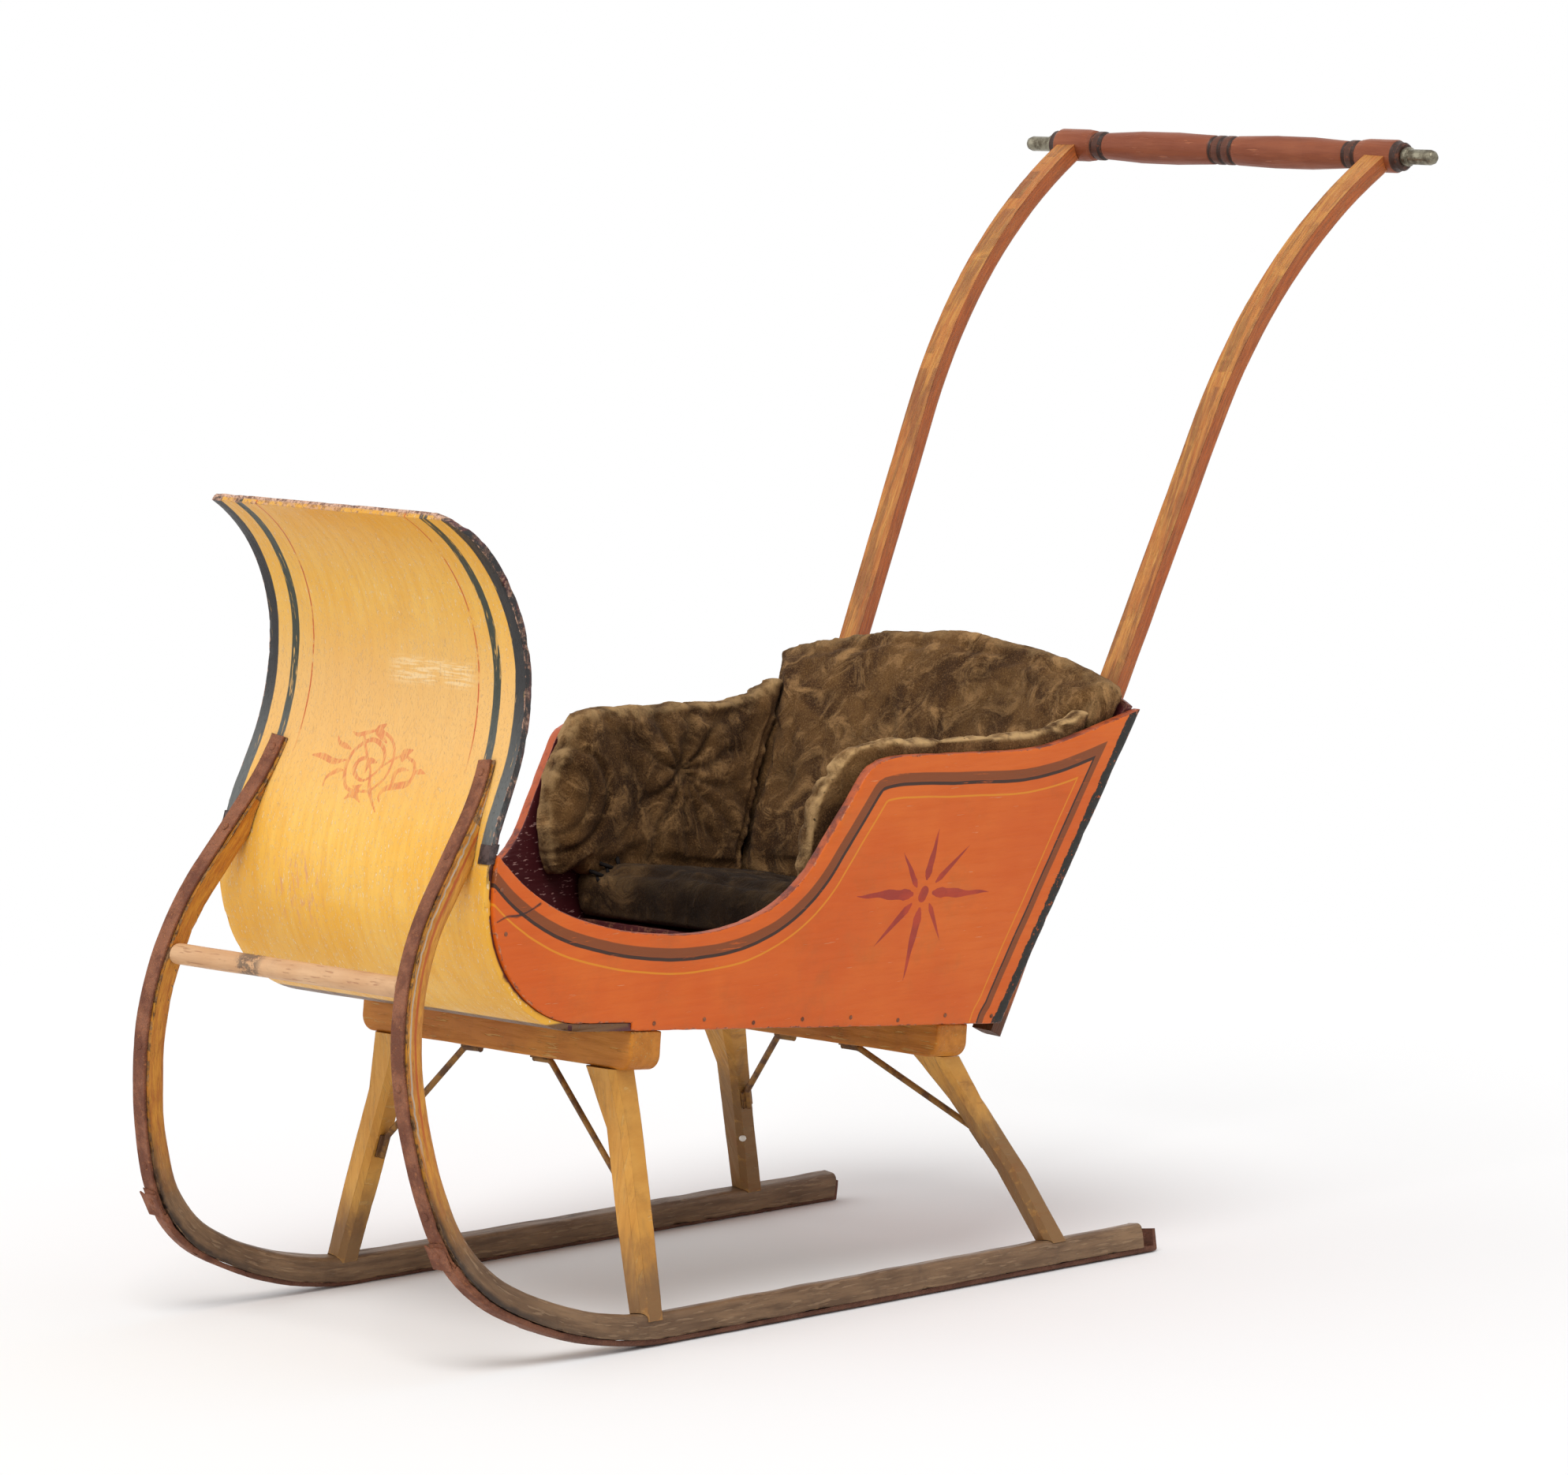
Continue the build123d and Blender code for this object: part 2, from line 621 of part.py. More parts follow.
bar_place = Pos(bar_x, 0, bar_z)
bar_turning = bar_middle_turning + [(arm_foot_y + place, size) for place, size in bar_end_turning]
bar_rows = [(-place, size) for place, size in reversed(bar_turning[1:])] + bar_turning
bar = turned(bar_rows)
bar_body_end = bar_turning[-1][0]
bar = bar + Rot(90, 0, 0) * Cylinder(tip_spigot_diameter / 2, 2 * (bar_body_end + tip_spigot_length))
tip = Pos(0, bar_body_end, 0) * turned(tip_turning)
tip = tip - Pos(0, bar_body_end, 0) * Rot(-90, 0, 0) * Cylinder(
    tip_spigot_diameter / 2 + fit, tip_spigot_length + fit, align=(Align.CENTER, Align.CENTER, Align.MIN)
)
bar_core = Rot(90, 0, 0) * Cylinder(bar_seat_diameter / 2, 2 * bar_body_end)
from_bar = (Align.CENTER, Align.CENTER, Align.MAX)
tenon = arm_end * Cylinder(bar_tenon_diameter / 2, bar_seat_diameter, align=from_bar)
tenon_hole = arm_end * Cylinder(bar_tenon_diameter / 2 + fit, bar_seat_diameter, align=from_bar)
arm = (arm - bar_place * bar_core) + tenon
parts["handle_arm_left"] = arm
parts["handle_arm_right"] = mirrored(arm)
parts["handle_bar"] = bar_place * bar - tenon_hole - mirrored(tenon_hole)
parts["bar_tip_left"] = bar_place * tip
parts["bar_tip_right"] = mirrored(parts["bar_tip_left"])

# Clips folded round the dash's edges, over the tips of the rims
clip_band = side_solid(band(dash_curve(-clip_thickness), dash_curve(dash_thickness + clip_thickness)))
clip_insets = between(dash_narrowing, clip_height)
boards = {"left": parts["dash_board"], "right": mirrored(parts["dash_board"])}
for side, inset in zip(boards, clip_insets):
    room = Pos(0, tub_half_width - inset + clip_thickness, clip_height) * Box(
        view_room, clip_width + clip_thickness, clip_length, align=(Align.CENTER, Align.MAX, Align.CENTER)
    )
    clip = (clip_band & room) - boards[side] - parts["side_panel_left"]
    parts[f"dash_clip_{side}"] = clip if side == "left" else mirrored(clip)

# Origin at the middle of the footprint, on the ground
whole = Compound(children=[Compound(shape.solids()) for shape in parts.values()]).bounding_box()
to_origin = Pos(-(whole.min.X + whole.max.X) / 2, -(whole.min.Y + whole.max.Y) / 2, -whole.min.Z)

os.makedirs("parts", exist_ok=True)
for name, shape in parts.items():
    export_step(to_origin * shape, f"parts/{name}.step")
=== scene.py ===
import math
from math import cos, radians, sin

import bmesh
import bpy
import numpy as np
from mathutils import Matrix, Vector, noise
from mathutils.bvhtree import BVHTree
from mathutils.kdtree import KDTree


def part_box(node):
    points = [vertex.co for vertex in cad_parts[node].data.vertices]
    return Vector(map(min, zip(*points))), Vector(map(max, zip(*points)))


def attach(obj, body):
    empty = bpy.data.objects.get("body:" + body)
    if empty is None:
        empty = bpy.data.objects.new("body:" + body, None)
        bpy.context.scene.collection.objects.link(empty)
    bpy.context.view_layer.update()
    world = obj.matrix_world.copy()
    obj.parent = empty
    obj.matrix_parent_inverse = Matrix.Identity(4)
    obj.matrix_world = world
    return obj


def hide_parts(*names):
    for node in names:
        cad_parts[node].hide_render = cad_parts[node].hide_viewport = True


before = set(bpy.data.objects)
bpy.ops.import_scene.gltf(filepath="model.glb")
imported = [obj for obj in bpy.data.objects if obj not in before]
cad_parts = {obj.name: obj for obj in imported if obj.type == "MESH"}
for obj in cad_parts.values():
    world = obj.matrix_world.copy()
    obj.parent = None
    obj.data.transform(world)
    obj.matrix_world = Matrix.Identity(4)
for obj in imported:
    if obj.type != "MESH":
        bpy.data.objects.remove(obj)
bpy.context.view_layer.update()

# Looks of a child's push sled: worn paint on wood, rusted iron and fur pads.
# Metres; forward is +X, the rider's left is +Y. Lengths named ...Mm are millimetres.

scene = bpy.context.scene
millimetre = 0.001
farMm = 30.0             # distances to an edge are kept up to this


def srgb(red, green, blue):
    # a colour as seen, 0 to 255, in the linear values that the shaders take
    linear = [v / 3294.6 if v <= 10.31 else ((v / 255 + 0.055) / 1.055) ** 2.4 for v in (red, green, blue)]
    return (*linear, 1.0)


# Shader building blocks

def put(tree, kind, sockets=None, **settings):
    item = tree.nodes.new(kind)
    for key, value in settings.items():
        setattr(item, key, value)
    for key, value in (sockets or {}).items():
        if isinstance(value, bpy.types.NodeSocket):
            tree.links.new(value, item.inputs[key])
        else:
            item.inputs[key].default_value = value
    return item


def objectCoords(tree, scale=(1, 1, 1), at=(0, 0, 0)):
    source = put(tree, "ShaderNodeTexCoord")
    return put(tree, "ShaderNodeMapping", {
        "Vector": source.outputs["Object"], "Scale": scale, "Location": at,
    }).outputs[0]


def axisValue(tree, axis):
    source = put(tree, "ShaderNodeTexCoord")
    return put(tree, "ShaderNodeSeparateXYZ", {0: source.outputs["Object"]}).outputs[axis]


def normalValue(tree, axis):
    source = put(tree, "ShaderNodeTexCoord")
    return put(tree, "ShaderNodeSeparateXYZ", {0: source.outputs["Normal"]}).outputs[axis]


def layerValue(tree, name):
    return put(tree, "ShaderNodeAttribute", attribute_name=name).outputs["Fac"]


def sums(tree, operation, a, b=0.0):
    return put(tree, "ShaderNodeMath", {0: a, 1: b}, operation=operation).outputs[0]


def times(tree, a, b):
    return sums(tree, "MULTIPLY", a, b)


def rise(tree, value, low, high, start=0.0, end=1.0):
    # a soft step: start below low, end above high
    return put(tree, "ShaderNodeMapRange", {
        "Value": value, "From Min": low, "From Max": high, "To Min": start, "To Max": end,
    }, interpolation_type="SMOOTHSTEP").outputs[0]


def band(tree, value, low, high, soft):
    # 1 between low and high
    up = rise(tree, value, low - soft, low + soft)
    down = rise(tree, value, high - soft, high + soft, 1.0, 0.0)
    return times(tree, up, down)


def grainNoise(tree, vector, scale, detail=4.0, rough=0.6, bend=0.0):
    return put(tree, "ShaderNodeTexNoise", {
        "Vector": vector, "Scale": scale, "Detail": detail, "Roughness": rough, "Distortion": bend,
    }).outputs[0]


def patches(tree, vector, scale, low, high, detail=4.0, rough=0.6, start=0.0, end=1.0):
    # ragged patches: start where the noise is below low, end where it is above high
    return rise(tree, grainNoise(tree, vector, scale, detail, rough), low, high, start, end)


def mixed(tree, share, a, b):
    # colour a, with this share of colour b
    item = put(tree, "ShaderNodeMix", data_type="RGBA")
    for index, value in ((0, share), (6, a), (7, b)):
        if isinstance(value, bpy.types.NodeSocket):
            tree.links.new(value, item.inputs[index])
        else:
            item.inputs[index].default_value = value
    return item.outputs[2]


def startMaterial(name):
    mat = bpy.data.materials.new(name)
    mat.use_nodes = True
    mat.node_tree.nodes.clear()
    return mat, mat.node_tree


def shade(tree, colour, rough, height=None, depth=0.0004, metal=0.0, sheen=0.0, shine=0.3):
    sockets = {"Base Color": colour, "Roughness": rough, "Metallic": metal, "Specular IOR Level": shine}
    if height is not None:
        sockets["Normal"] = put(tree, "ShaderNodeBump", {
            "Height": height, "Distance": depth, "Strength": 1.0,
        }).outputs[0]
    if sheen:
        sockets["Sheen Weight"] = sheen
        sockets["Sheen Roughness"] = 0.5
    shader = put(tree, "ShaderNodeBsdfPrincipled", sockets)
    put(tree, "ShaderNodeOutputMaterial", {"Surface": shader.outputs[0]})


def grainCoords(tree, grain, stretch=0.09):
    # coordinates that draw a pattern out along the grain; "bent" follows the layer of followGrain
    if grain == "bent":
        source = put(tree, "ShaderNodeAttribute", attribute_name="grainAt").outputs["Vector"]
        return put(tree, "ShaderNodeMapping", {"Vector": source, "Scale": (stretch, 1.0, 1.0)}).outputs[0]
    scale = {"x": (stretch, 1.0, 1.0), "y": (1.0, stretch, 1.0), "z": (stretch, 1.0, stretch)}[grain]
    return objectCoords(tree, scale)


# what every painted board has, unless its own look says otherwise
plainLook = {
    "brush": 160.0, "brushShare": 0.35, "fleckScale": 420.0, "fleckStretch": 0.09, "fleckFrom": 0.66,
    "fleckShare": 0.6, "dirtScale": 26.0, "dirtShare": 0.25, "edgeReachMm": 3.0, "edgeShare": 0.9,
    "roundMm": 0.0, "waveMm": 0.25, "chipMm": 0.7,
}


def oldPaint(tree, look):
    # brushed paint with streaks along the grain, pale flecks where it has flaked, and dirt
    look = {**plainLook, **look}
    along = grainCoords(tree, look["grain"])
    short = grainCoords(tree, look["grain"], look["fleckStretch"])
    plain = objectCoords(tree)
    cloud = patches(tree, plain, 9.0, 0.32, 0.68, 3.0)
    colour = mixed(tree, cloud, look["paint"], look["paintPale"])
    brush = patches(tree, along, look["brush"], 0.35, 0.7, 5.0, 0.7)
    colour = mixed(tree, times(tree, brush, look["brushShare"]), colour, look["paintDeep"])
    edge = look["fleckFrom"]
    flecks = patches(tree, short, look["fleckScale"], edge, edge + 0.05, 2.0)
    colour = mixed(tree, times(tree, flecks, look["fleckShare"]), colour, look["fleck"])
    dirt = patches(tree, plain, look["dirtScale"], 0.52, 0.8, 6.0, 0.7)
    colour = mixed(tree, times(tree, dirt, look["dirtShare"]), colour, look["dirt"])
    height = sums(tree, "ADD", times(tree, brush, 0.5), times(tree, flecks, -0.8))
    return colour, height


def wornEdges(tree, colour, look):
    # paint rubbed off the board's edges, with a ragged border
    look = {**plainLook, **look}
    plain = objectCoords(tree)
    reach = times(tree, patches(tree, plain, 130.0, 0.35, 0.75, 5.0, 0.75), look["edgeReachMm"])
    away = sums(tree, "SUBTRACT", layerValue(tree, "edgeMm"), reach)
    bare = times(tree, rise(tree, away, -0.5, 0.25, 1.0, 0.0), look["edgeShare"])
    wood = mixed(tree, patches(tree, plain, 300.0, 0.4, 0.62), look["edge"], look["edgeDeep"])
    return mixed(tree, bare, colour, wood)


# Mesh building blocks

def areaNormals(bm):
    # normals that keep a board's large faces flat right up to their narrow rounded edges
    bm.normal_update()
    totals = [Vector() for vert in bm.verts]
    bm.verts.index_update()
    for face in bm.faces:
        share = face.normal * face.calc_area()
        for vert in face.verts:
            totals[vert.index] += share
    return [total.normalized() for total in totals]


def makeObject(name, bm, flatFaces=False):
    mesh = bpy.data.meshes.new(name)
    normals = areaNormals(bm) if flatFaces else []
    bm.to_mesh(mesh)
    bm.free()
    for face in mesh.polygons:
        face.use_smooth = True
    if normals:
        mesh.normals_split_custom_set_from_vertices(normals)
    piece = bpy.data.objects.new(name, mesh)
    scene.collection.objects.link(piece)
    return piece


def settle(piece, nodes, slot, *materials):
    for mat in materials:
        piece.data.materials.append(mat)
    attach(piece, "root")
    if nodes:
        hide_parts(*nodes)
    return piece


def mergedCopy(node):
    bm = bmesh.new()
    bm.from_mesh(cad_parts[node].data)
    bmesh.ops.remove_doubles(bm, verts=bm.verts, dist=2e-6)
    bmesh.ops.dissolve_limit(bm, angle_limit=radians(0.25), verts=bm.verts, edges=bm.edges)
    bmesh.ops.dissolve_degenerate(bm, edges=bm.edges, dist=2e-6)
    return bm


def pointTree(points):
    tree = KDTree(len(points))
    for index, point in enumerate(points):
        tree.insert(point, index)
    tree.balance()
    return tree


def alongEdges(edges, step=0.0015):
    points = []
    for edge in edges:
        a, b = edge.verts[0].co, edge.verts[1].co
        count = max(1, int((b - a).length / step))
        points += [a.lerp(b, i / count) for i in range(count + 1)]
    return points


def sharpEdges(bm, angle):
    return [edge for edge in bm.edges if edge.is_manifold and edge.calc_face_angle(0.0) > radians(angle)]


def cutAcross(bm, faces, axis, low, high, step):
    # cuts the faces by evenly spaced planes square to one axis, sweeping on with what lies beyond each
    count = max(1, round((high - low) / step))
    across = Vector([float(i == axis) for i in range(3)])
    for i in range(1, count):
        place = low + (high - low) * i / count
        edges = {edge for face in faces for edge in face.edges}
        verts = {vert for edge in edges for vert in edge.verts}
        done = bmesh.ops.bisect_plane(
            bm, geom=[*faces, *edges, *verts], dist=1e-6, plane_co=across * place, plane_no=across,
        )
        faces = [item for item in done["geom"] if isinstance(item, bmesh.types.BMFace)
                 and item.calc_center_bounds()[axis] > place]


def cutFiner(bm, faces, cuts):
    # splits each four-sided face into a small grid
    edges = list({edge for face in faces for edge in face.edges})
    bmesh.ops.subdivide_edges(bm, edges=edges, cuts=cuts, use_grid_fill=True)


def tidyFaces(bm):
    bmesh.ops.triangulate(bm, faces=[face for face in bm.faces if len(face.verts) > 4])
    bm.normal_update()


def dressedBoard(node, look):
    # a copy of a CAD piece with rounded, chipped edges, cut finely enough to carry its wear
    look = {**plainLook, **look}
    bm = mergedCopy(node)
    low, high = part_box(node)
    sharp = sharpEdges(bm, 30.0)
    edgeTree = pointTree(alongEdges(sharp))
    if look["roundMm"]:
        bmesh.ops.bevel(
            bm, geom=sharp, offset=look["roundMm"] * millimetre, offset_type="OFFSET", segments=2,
            profile=0.5, affect="EDGES", clamp_overlap=True, material=-1,
        )
    for axis, cell in enumerate(look["cellsMm"]):
        if cell:
            cutAcross(bm, bm.faces[:], axis, low[axis], high[axis], cell * millimetre)
    tidyFaces(bm)
    edgeLayer = bm.verts.layers.float.new("edgeMm")
    for vert in bm.verts:
        vert[edgeLayer] = min(edgeTree.find(vert.co)[2] / millimetre, farMm)
    handMade(bm, edgeLayer, look)
    return bm


def handMade(bm, edgeLayer, look):
    # slight waves in the faces, and dents along the edges, always inwards
    wave, chip = look["waveMm"] * millimetre, look["chipMm"] * millimetre
    bm.normal_update()
    for vert in bm.verts:
        push = wave * (noise.noise(vert.co * 28.0) - 0.6)
        near = max(0.0, 1.0 - vert[edgeLayer] / 3.5)
        bite = max(0.0, noise.noise(vert.co * 95.0) + 0.35 * noise.noise(vert.co * 260.0) - 0.12)
        push -= chip * near * bite * 2.2
        vert.co += vert.normal * push


def surfaceOf(mesh):
    mesh.calc_loop_triangles()
    return BVHTree.FromPolygons([v.co for v in mesh.vertices], [t.vertices[:] for t in mesh.loop_triangles])


# Paint strokes: each is a smooth line through a few points that swells between its ends

def strokeLine(points):
    # a smooth line through the points
    samples = 9
    points = [Vector(p) for p in points]
    ends = [points[0] * 2 - points[1]] + points + [points[-1] * 2 - points[-2]]
    line = []
    for p0, p1, p2, p3 in zip(ends, ends[1:], ends[2:], ends[3:]):
        for i in range(samples):
            t = i / samples
            line.append(0.5 * (
                2 * p1 + (p2 - p0) * t + (2 * p0 - 5 * p1 + 4 * p2 - p3) * t ** 2
                + (3 * p1 - p0 - 3 * p2 + p3) * t ** 3
            ))
    return line + [points[-1]]


def paintLayer(verts, layer, depth, soft):
    # 1 inside a stroke, 0 outside it, over a soft edge
    for vert, value in zip(verts, depth):
        vert[layer] = float(min(max(0.5 + value / soft, 0.0), 1.0))


def strokeDepth(places, line, widths):
    # how far inside a painted line each place is, in the line's own units
    line = np.array([tuple(p) for p in line])
    shares = np.linspace(0.0, 1.0, len(line))
    halfWidths = np.interp(shares, np.linspace(0.0, 1.0, len(widths)), widths) / 2
    best = np.full(len(places), -1e9)
    for a, b, wa, wb in zip(line, line[1:], halfWidths, halfWidths[1:]):
        along = b - a
        share = np.clip(((places - a) @ along) / max(along @ along, 1e-9), 0.0, 1.0)
        away = np.linalg.norm(places - a - share[:, None] * along, axis=1)
        best = np.maximum(best, wa + (wb - wa) * share - away)
    return best


# Dash

dashLook = {
    "grain": "z",
    "paint": srgb(236, 176, 56), "paintPale": srgb(240, 190, 88), "paintDeep": srgb(224, 150, 34),
    "fleck": srgb(250, 226, 184), "dirt": srgb(196, 128, 44), "fleckFrom": 0.60, "fleckShare": 0.6,
    "fleckScale": 820.0, "fleckStretch": 0.30, "brushShare": 0.34,
    "edge": srgb(206, 160, 132), "edgeDeep": srgb(120, 78, 62), "edgeReachMm": 2.2, "edgeShare": 0.7,
    "roundMm": 1.6, "cellsMm": (0.0, 7.0, 7.0), "chipMm": 0.9, "inside": srgb(84, 34, 38),
    "black": srgb(46, 44, 44), "fadedBlack": srgb(96, 98, 96), "green": srgb(58, 62, 50),
    "redLine": srgb(196, 92, 40), "scroll": srgb(212, 118, 70), "soot": srgb(84, 52, 44),
    "waist": srgb(226, 178, 112), "rolled": srgb(196, 132, 48), "insideWorn": srgb(150, 90, 84),
    "whitish": srgb(246, 222, 176), "lifted": srgb(214, 150, 116),
    "topWood": srgb(214, 172, 146), "topWoodDeep": srgb(108, 74, 62),
    # heights of what the paint does: the paler waist, the painted shade under the rolled top, the stripe over
    # the bolster
    "waistHeights": (0.455, 0.585), "rolledHeights": (0.60, 0.69), "sootHeights": (0.2745, 0.2765),
    # where the outer band, the inner band and the red line begin, and where the bands have faded
    "outerFrom": (0.4205, 0.4225), "innerFrom": (0.478, 0.486), "lineFrom": (0.47, 0.52),
    "fadedHeights": (0.45, 0.56),
    # the whitish patch and the lifted paint: across, then up
    "patchAt": ((-0.002, 0.092), (0.548, 0.568)), "liftedAt": ((-0.100, -0.035), (0.345, 0.405)),
    # bands, in millimetres in from the board's side edge
    "outerBandMm": 12.5, "innerBandMm": (29.5, 38.5), "redLineMm": (55.5, 57.0),
    "scrollCentre": (-0.0144, 0.4806), "scrollReach": (0.100, 0.045), "scrollCuts": 7,
    "cornerDrop": 0.045, "sideRun": 0.05,
}

# the faded scroll; columns: points across and up from its centre, widths from root to tip
scrollStrokes = [
    ([(17, -23), (-10, -23), (-20, -13), (-22, -1), (-17, 9), (-3, 17), (10, 15), (19, 7), (19, -3),
      (12, -11), (4, -15), (-5, -13), (-11, -7), (-9, 0), (-1, 3)], (2.0, 4.0, 3.2, 4.2, 2.2, 2.0, 5.0, 3.0)),
    ([(8, 25), (21, 20), (29, 11), (31, -1), (28, -12), (17, -22)], (3.0, 3.0, 2.6, 2.0)),
    ([(47, 7), (57, 3), (61, -5), (58, -13), (46, -16), (34, -19), (29, -25), (32, -30)],
     (2.2, 3.4, 3.4, 6.0, 5.0, 3.0, 1.0)),
    ([(53, -3), (45, -3), (39, -7), (40, -16)], (1.0, 3.6, 4.6, 4.0)),
    ([(-12, 20), (-2, 5), (8, -6), (16, -22), (31, -38)], (2.4, 2.6, 2.0, 4.2, 1.0)),
    ([(20, -3), (29, 3), (38, 7)], (2.0, 2.0, 2.4)),
    ([(-67, 0), (-55, 0), (-39, -3), (-25, -1)], (1.5, 5.0, 5.0, 1.5)),
    ([(-44, 18), (-39, 12), (-31, 10), (-23, 8)], (0.6, 3.4, 4.6, 1.2)),
    ([(-42, -23), (-41, -16), (-31, -10), (-24, -9)], (1.0, 2.6, 4.4, 1.2)),
    ([(-27, 22), (-20, 20), (-11, 22), (1, 25)], (0.8, 3.4, 3.6, 2.0)),
    ([(12, 31), (5, 25), (17, 16)], (1.0, 9.0, 1.2)),
    ([(51, 13), (43, 9), (42, 4)], (1.0, 9.0, 3.0)),
    ([(61, -5), (67, -3), (74, -4)], (2.0, 4.6, 0.8)),
    ([(-11, -31), (-2, -26), (9, -32)], (1.0, 7.0, 0.8)),
    ([(3, -9), (4, 0), (13, 0)], (1.2, 6.6, 0.8)),
    ([(-7, -20), (0, -21), (5, -18)], (0.8, 4.4, 0.8)),
]


def dashEdges(node):
    # the half widths of the board by height, from its side faces, read below the rounded corners
    rows = {1: [], -1: []}
    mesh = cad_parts[node].data
    for face in mesh.polygons:
        if abs(face.normal.y) > 0.9:
            for index in face.vertices:
                place = mesh.vertices[index].co
                rows[1 if place.y > 0 else -1].append((round(place.z, 4), abs(place.y)))
    tables = {}
    for side, pairs in rows.items():
        table = {}
        for height, width in pairs:
            table[height] = max(width, table.get(height, 0.0))
        heights = sorted(table)
        tables[side] = (np.array(heights), np.array([table[h] for h in heights]))
    return tables


def dashMaterial():
    mat, tree = startMaterial("dashPaint")
    look = dashLook
    colour, height = oldPaint(tree, look)
    high, across, plain = axisValue(tree, 2), axisValue(tree, 1), objectCoords(tree)
    # paler and pinker over the waist; painted shade, a deeper yellow, under the rolled top
    waist = band(tree, high, *look["waistHeights"], 0.05)
    colour = mixed(tree, times(tree, waist, 0.75), colour, look["waist"])
    # painted shade: the rolled top is painted a deeper yellow
    rolled = rise(tree, high, *look["rolledHeights"])
    colour = mixed(tree, times(tree, rolled, 0.35), colour, look["rolled"])
    wobble = times(tree, grainNoise(tree, plain, 22.0, 3.0), 2.4)
    inFrom = sums(tree, "ADD", layerValue(tree, "sideMm"), sums(tree, "SUBTRACT", wobble, 1.2))
    scuffs = grainNoise(tree, grainCoords(tree, "z"), 330.0, 3.0, 0.7)
    # fewer flakes on the outer band than on the inner one
    flaked = rise(tree, scuffs, 0.58, 0.66, 1.0, 0.0)
    outerEnd = look["outerBandMm"]
    outer = rise(tree, inFrom, outerEnd - 0.5, outerEnd + 0.5, 1.0, 0.0)
    outer = times(tree, outer, rise(tree, scuffs, 0.66, 0.74, 1.0, 0.15))
    faded = rise(tree, high, *look["fadedHeights"], 1.0, 0.0)
    outer = times(tree, outer, rise(tree, high, *look["outerFrom"]))
    colour = mixed(tree, outer, colour, mixed(tree, faded, look["black"], look["fadedBlack"]))
    inner = band(tree, inFrom, *look["innerBandMm"], 0.5)
    inner = times(tree, inner, sums(tree, "MAXIMUM", flaked, 0.2))
    inner = times(tree, inner, rise(tree, high, *look["innerFrom"]))
    colour = mixed(tree, inner, colour, mixed(tree, faded, look["green"], look["fadedBlack"]))
    line = band(tree, inFrom, *look["redLineMm"], 0.45)
    line = times(tree, line, rise(tree, high, *look["lineFrom"]))
    line = times(tree, line, patches(tree, plain, 60.0, 0.36, 0.5))
    colour = mixed(tree, line, colour, look["redLine"])
    # the scroll is worn through by the same flakes
    scroll = rise(tree, layerValue(tree, "scroll"), 0.35, 0.6)
    thin = patches(tree, grainCoords(tree, "z"), 520.0, 0.42, 0.6, 3.0, 0.7, 1.0, 0.35)
    colour = mixed(tree, times(tree, scroll, times(tree, thin, 0.8)), colour, look["scroll"])
    # whitish rubbed patch under the rolled top, by the left
    (left, right), (bottom, top) = look["patchAt"]
    patch = times(tree, band(tree, across, left, right, 0.012), band(tree, high, bottom, top, 0.004))
    patch = times(tree, patch, patches(tree, objectCoords(tree, (0.3, 0.3, 3)), 150.0, 0.42, 0.6))
    colour = mixed(tree, times(tree, patch, 0.55), colour, look["whitish"])
    # pink scratches low on the right, where the paint has lifted
    (left, right), (bottom, top) = look["liftedAt"]
    graze = times(tree, band(tree, across, left, right, 0.015), band(tree, high, bottom, top, 0.015))
    graze = times(tree, graze, patches(tree, grainCoords(tree, "z", 0.2), 240.0, 0.54, 0.60, 4.0, 0.7))
    colour = mixed(tree, times(tree, graze, 0.6), colour, look["lifted"])
    # dark stripe along the bottom, over the bolster
    low = rise(tree, high, *look["sootHeights"], 1.0, 0.0)
    colour = mixed(tree, times(tree, low, 0.9), colour, look["soot"])
    back = rise(tree, normalValue(tree, 0), -0.12, -0.02, 1.0, 0.0)
    inside = mixed(tree, rise(tree, scuffs, 0.68, 0.72, 1.0, 0.2), look["insideWorn"], look["inside"])
    colour = mixed(tree, back, colour, inside)
    colour = mixed(tree, rise(tree, high, 0.395, 0.43), colour, wornEdges(tree, colour, look))
    # the top rim is bare, rubbed pinkish wood; the side edges keep black paint
    rim = rise(tree, layerValue(tree, "topMm"), 1.5, 3.5, 1.0, 0.0)
    rubbed = patches(tree, plain, 240.0, 0.42, 0.6, 5.0, 0.8)
    colour = mixed(tree, rim, colour, mixed(tree, rubbed, look["topWood"], look["topWoodDeep"]))
    sideFace = rise(tree, sums(tree, "ABSOLUTE", normalValue(tree, 1)), 0.75, 0.9)
    sideFace = times(tree, sideFace, rise(tree, high, 0.39, 0.41))
    ragged = patches(tree, objectCoords(tree, (1, 1, 0.3)), 160.0, 0.4, 0.6, 5.0, 0.8, 1.0, 0.25)
    colour = mixed(tree, times(tree, sideFace, ragged), colour, look["black"])
    shade(tree, colour, rise(tree, height, 0.0, 0.6, 0.36, 0.55), height, 0.00035)
    return mat


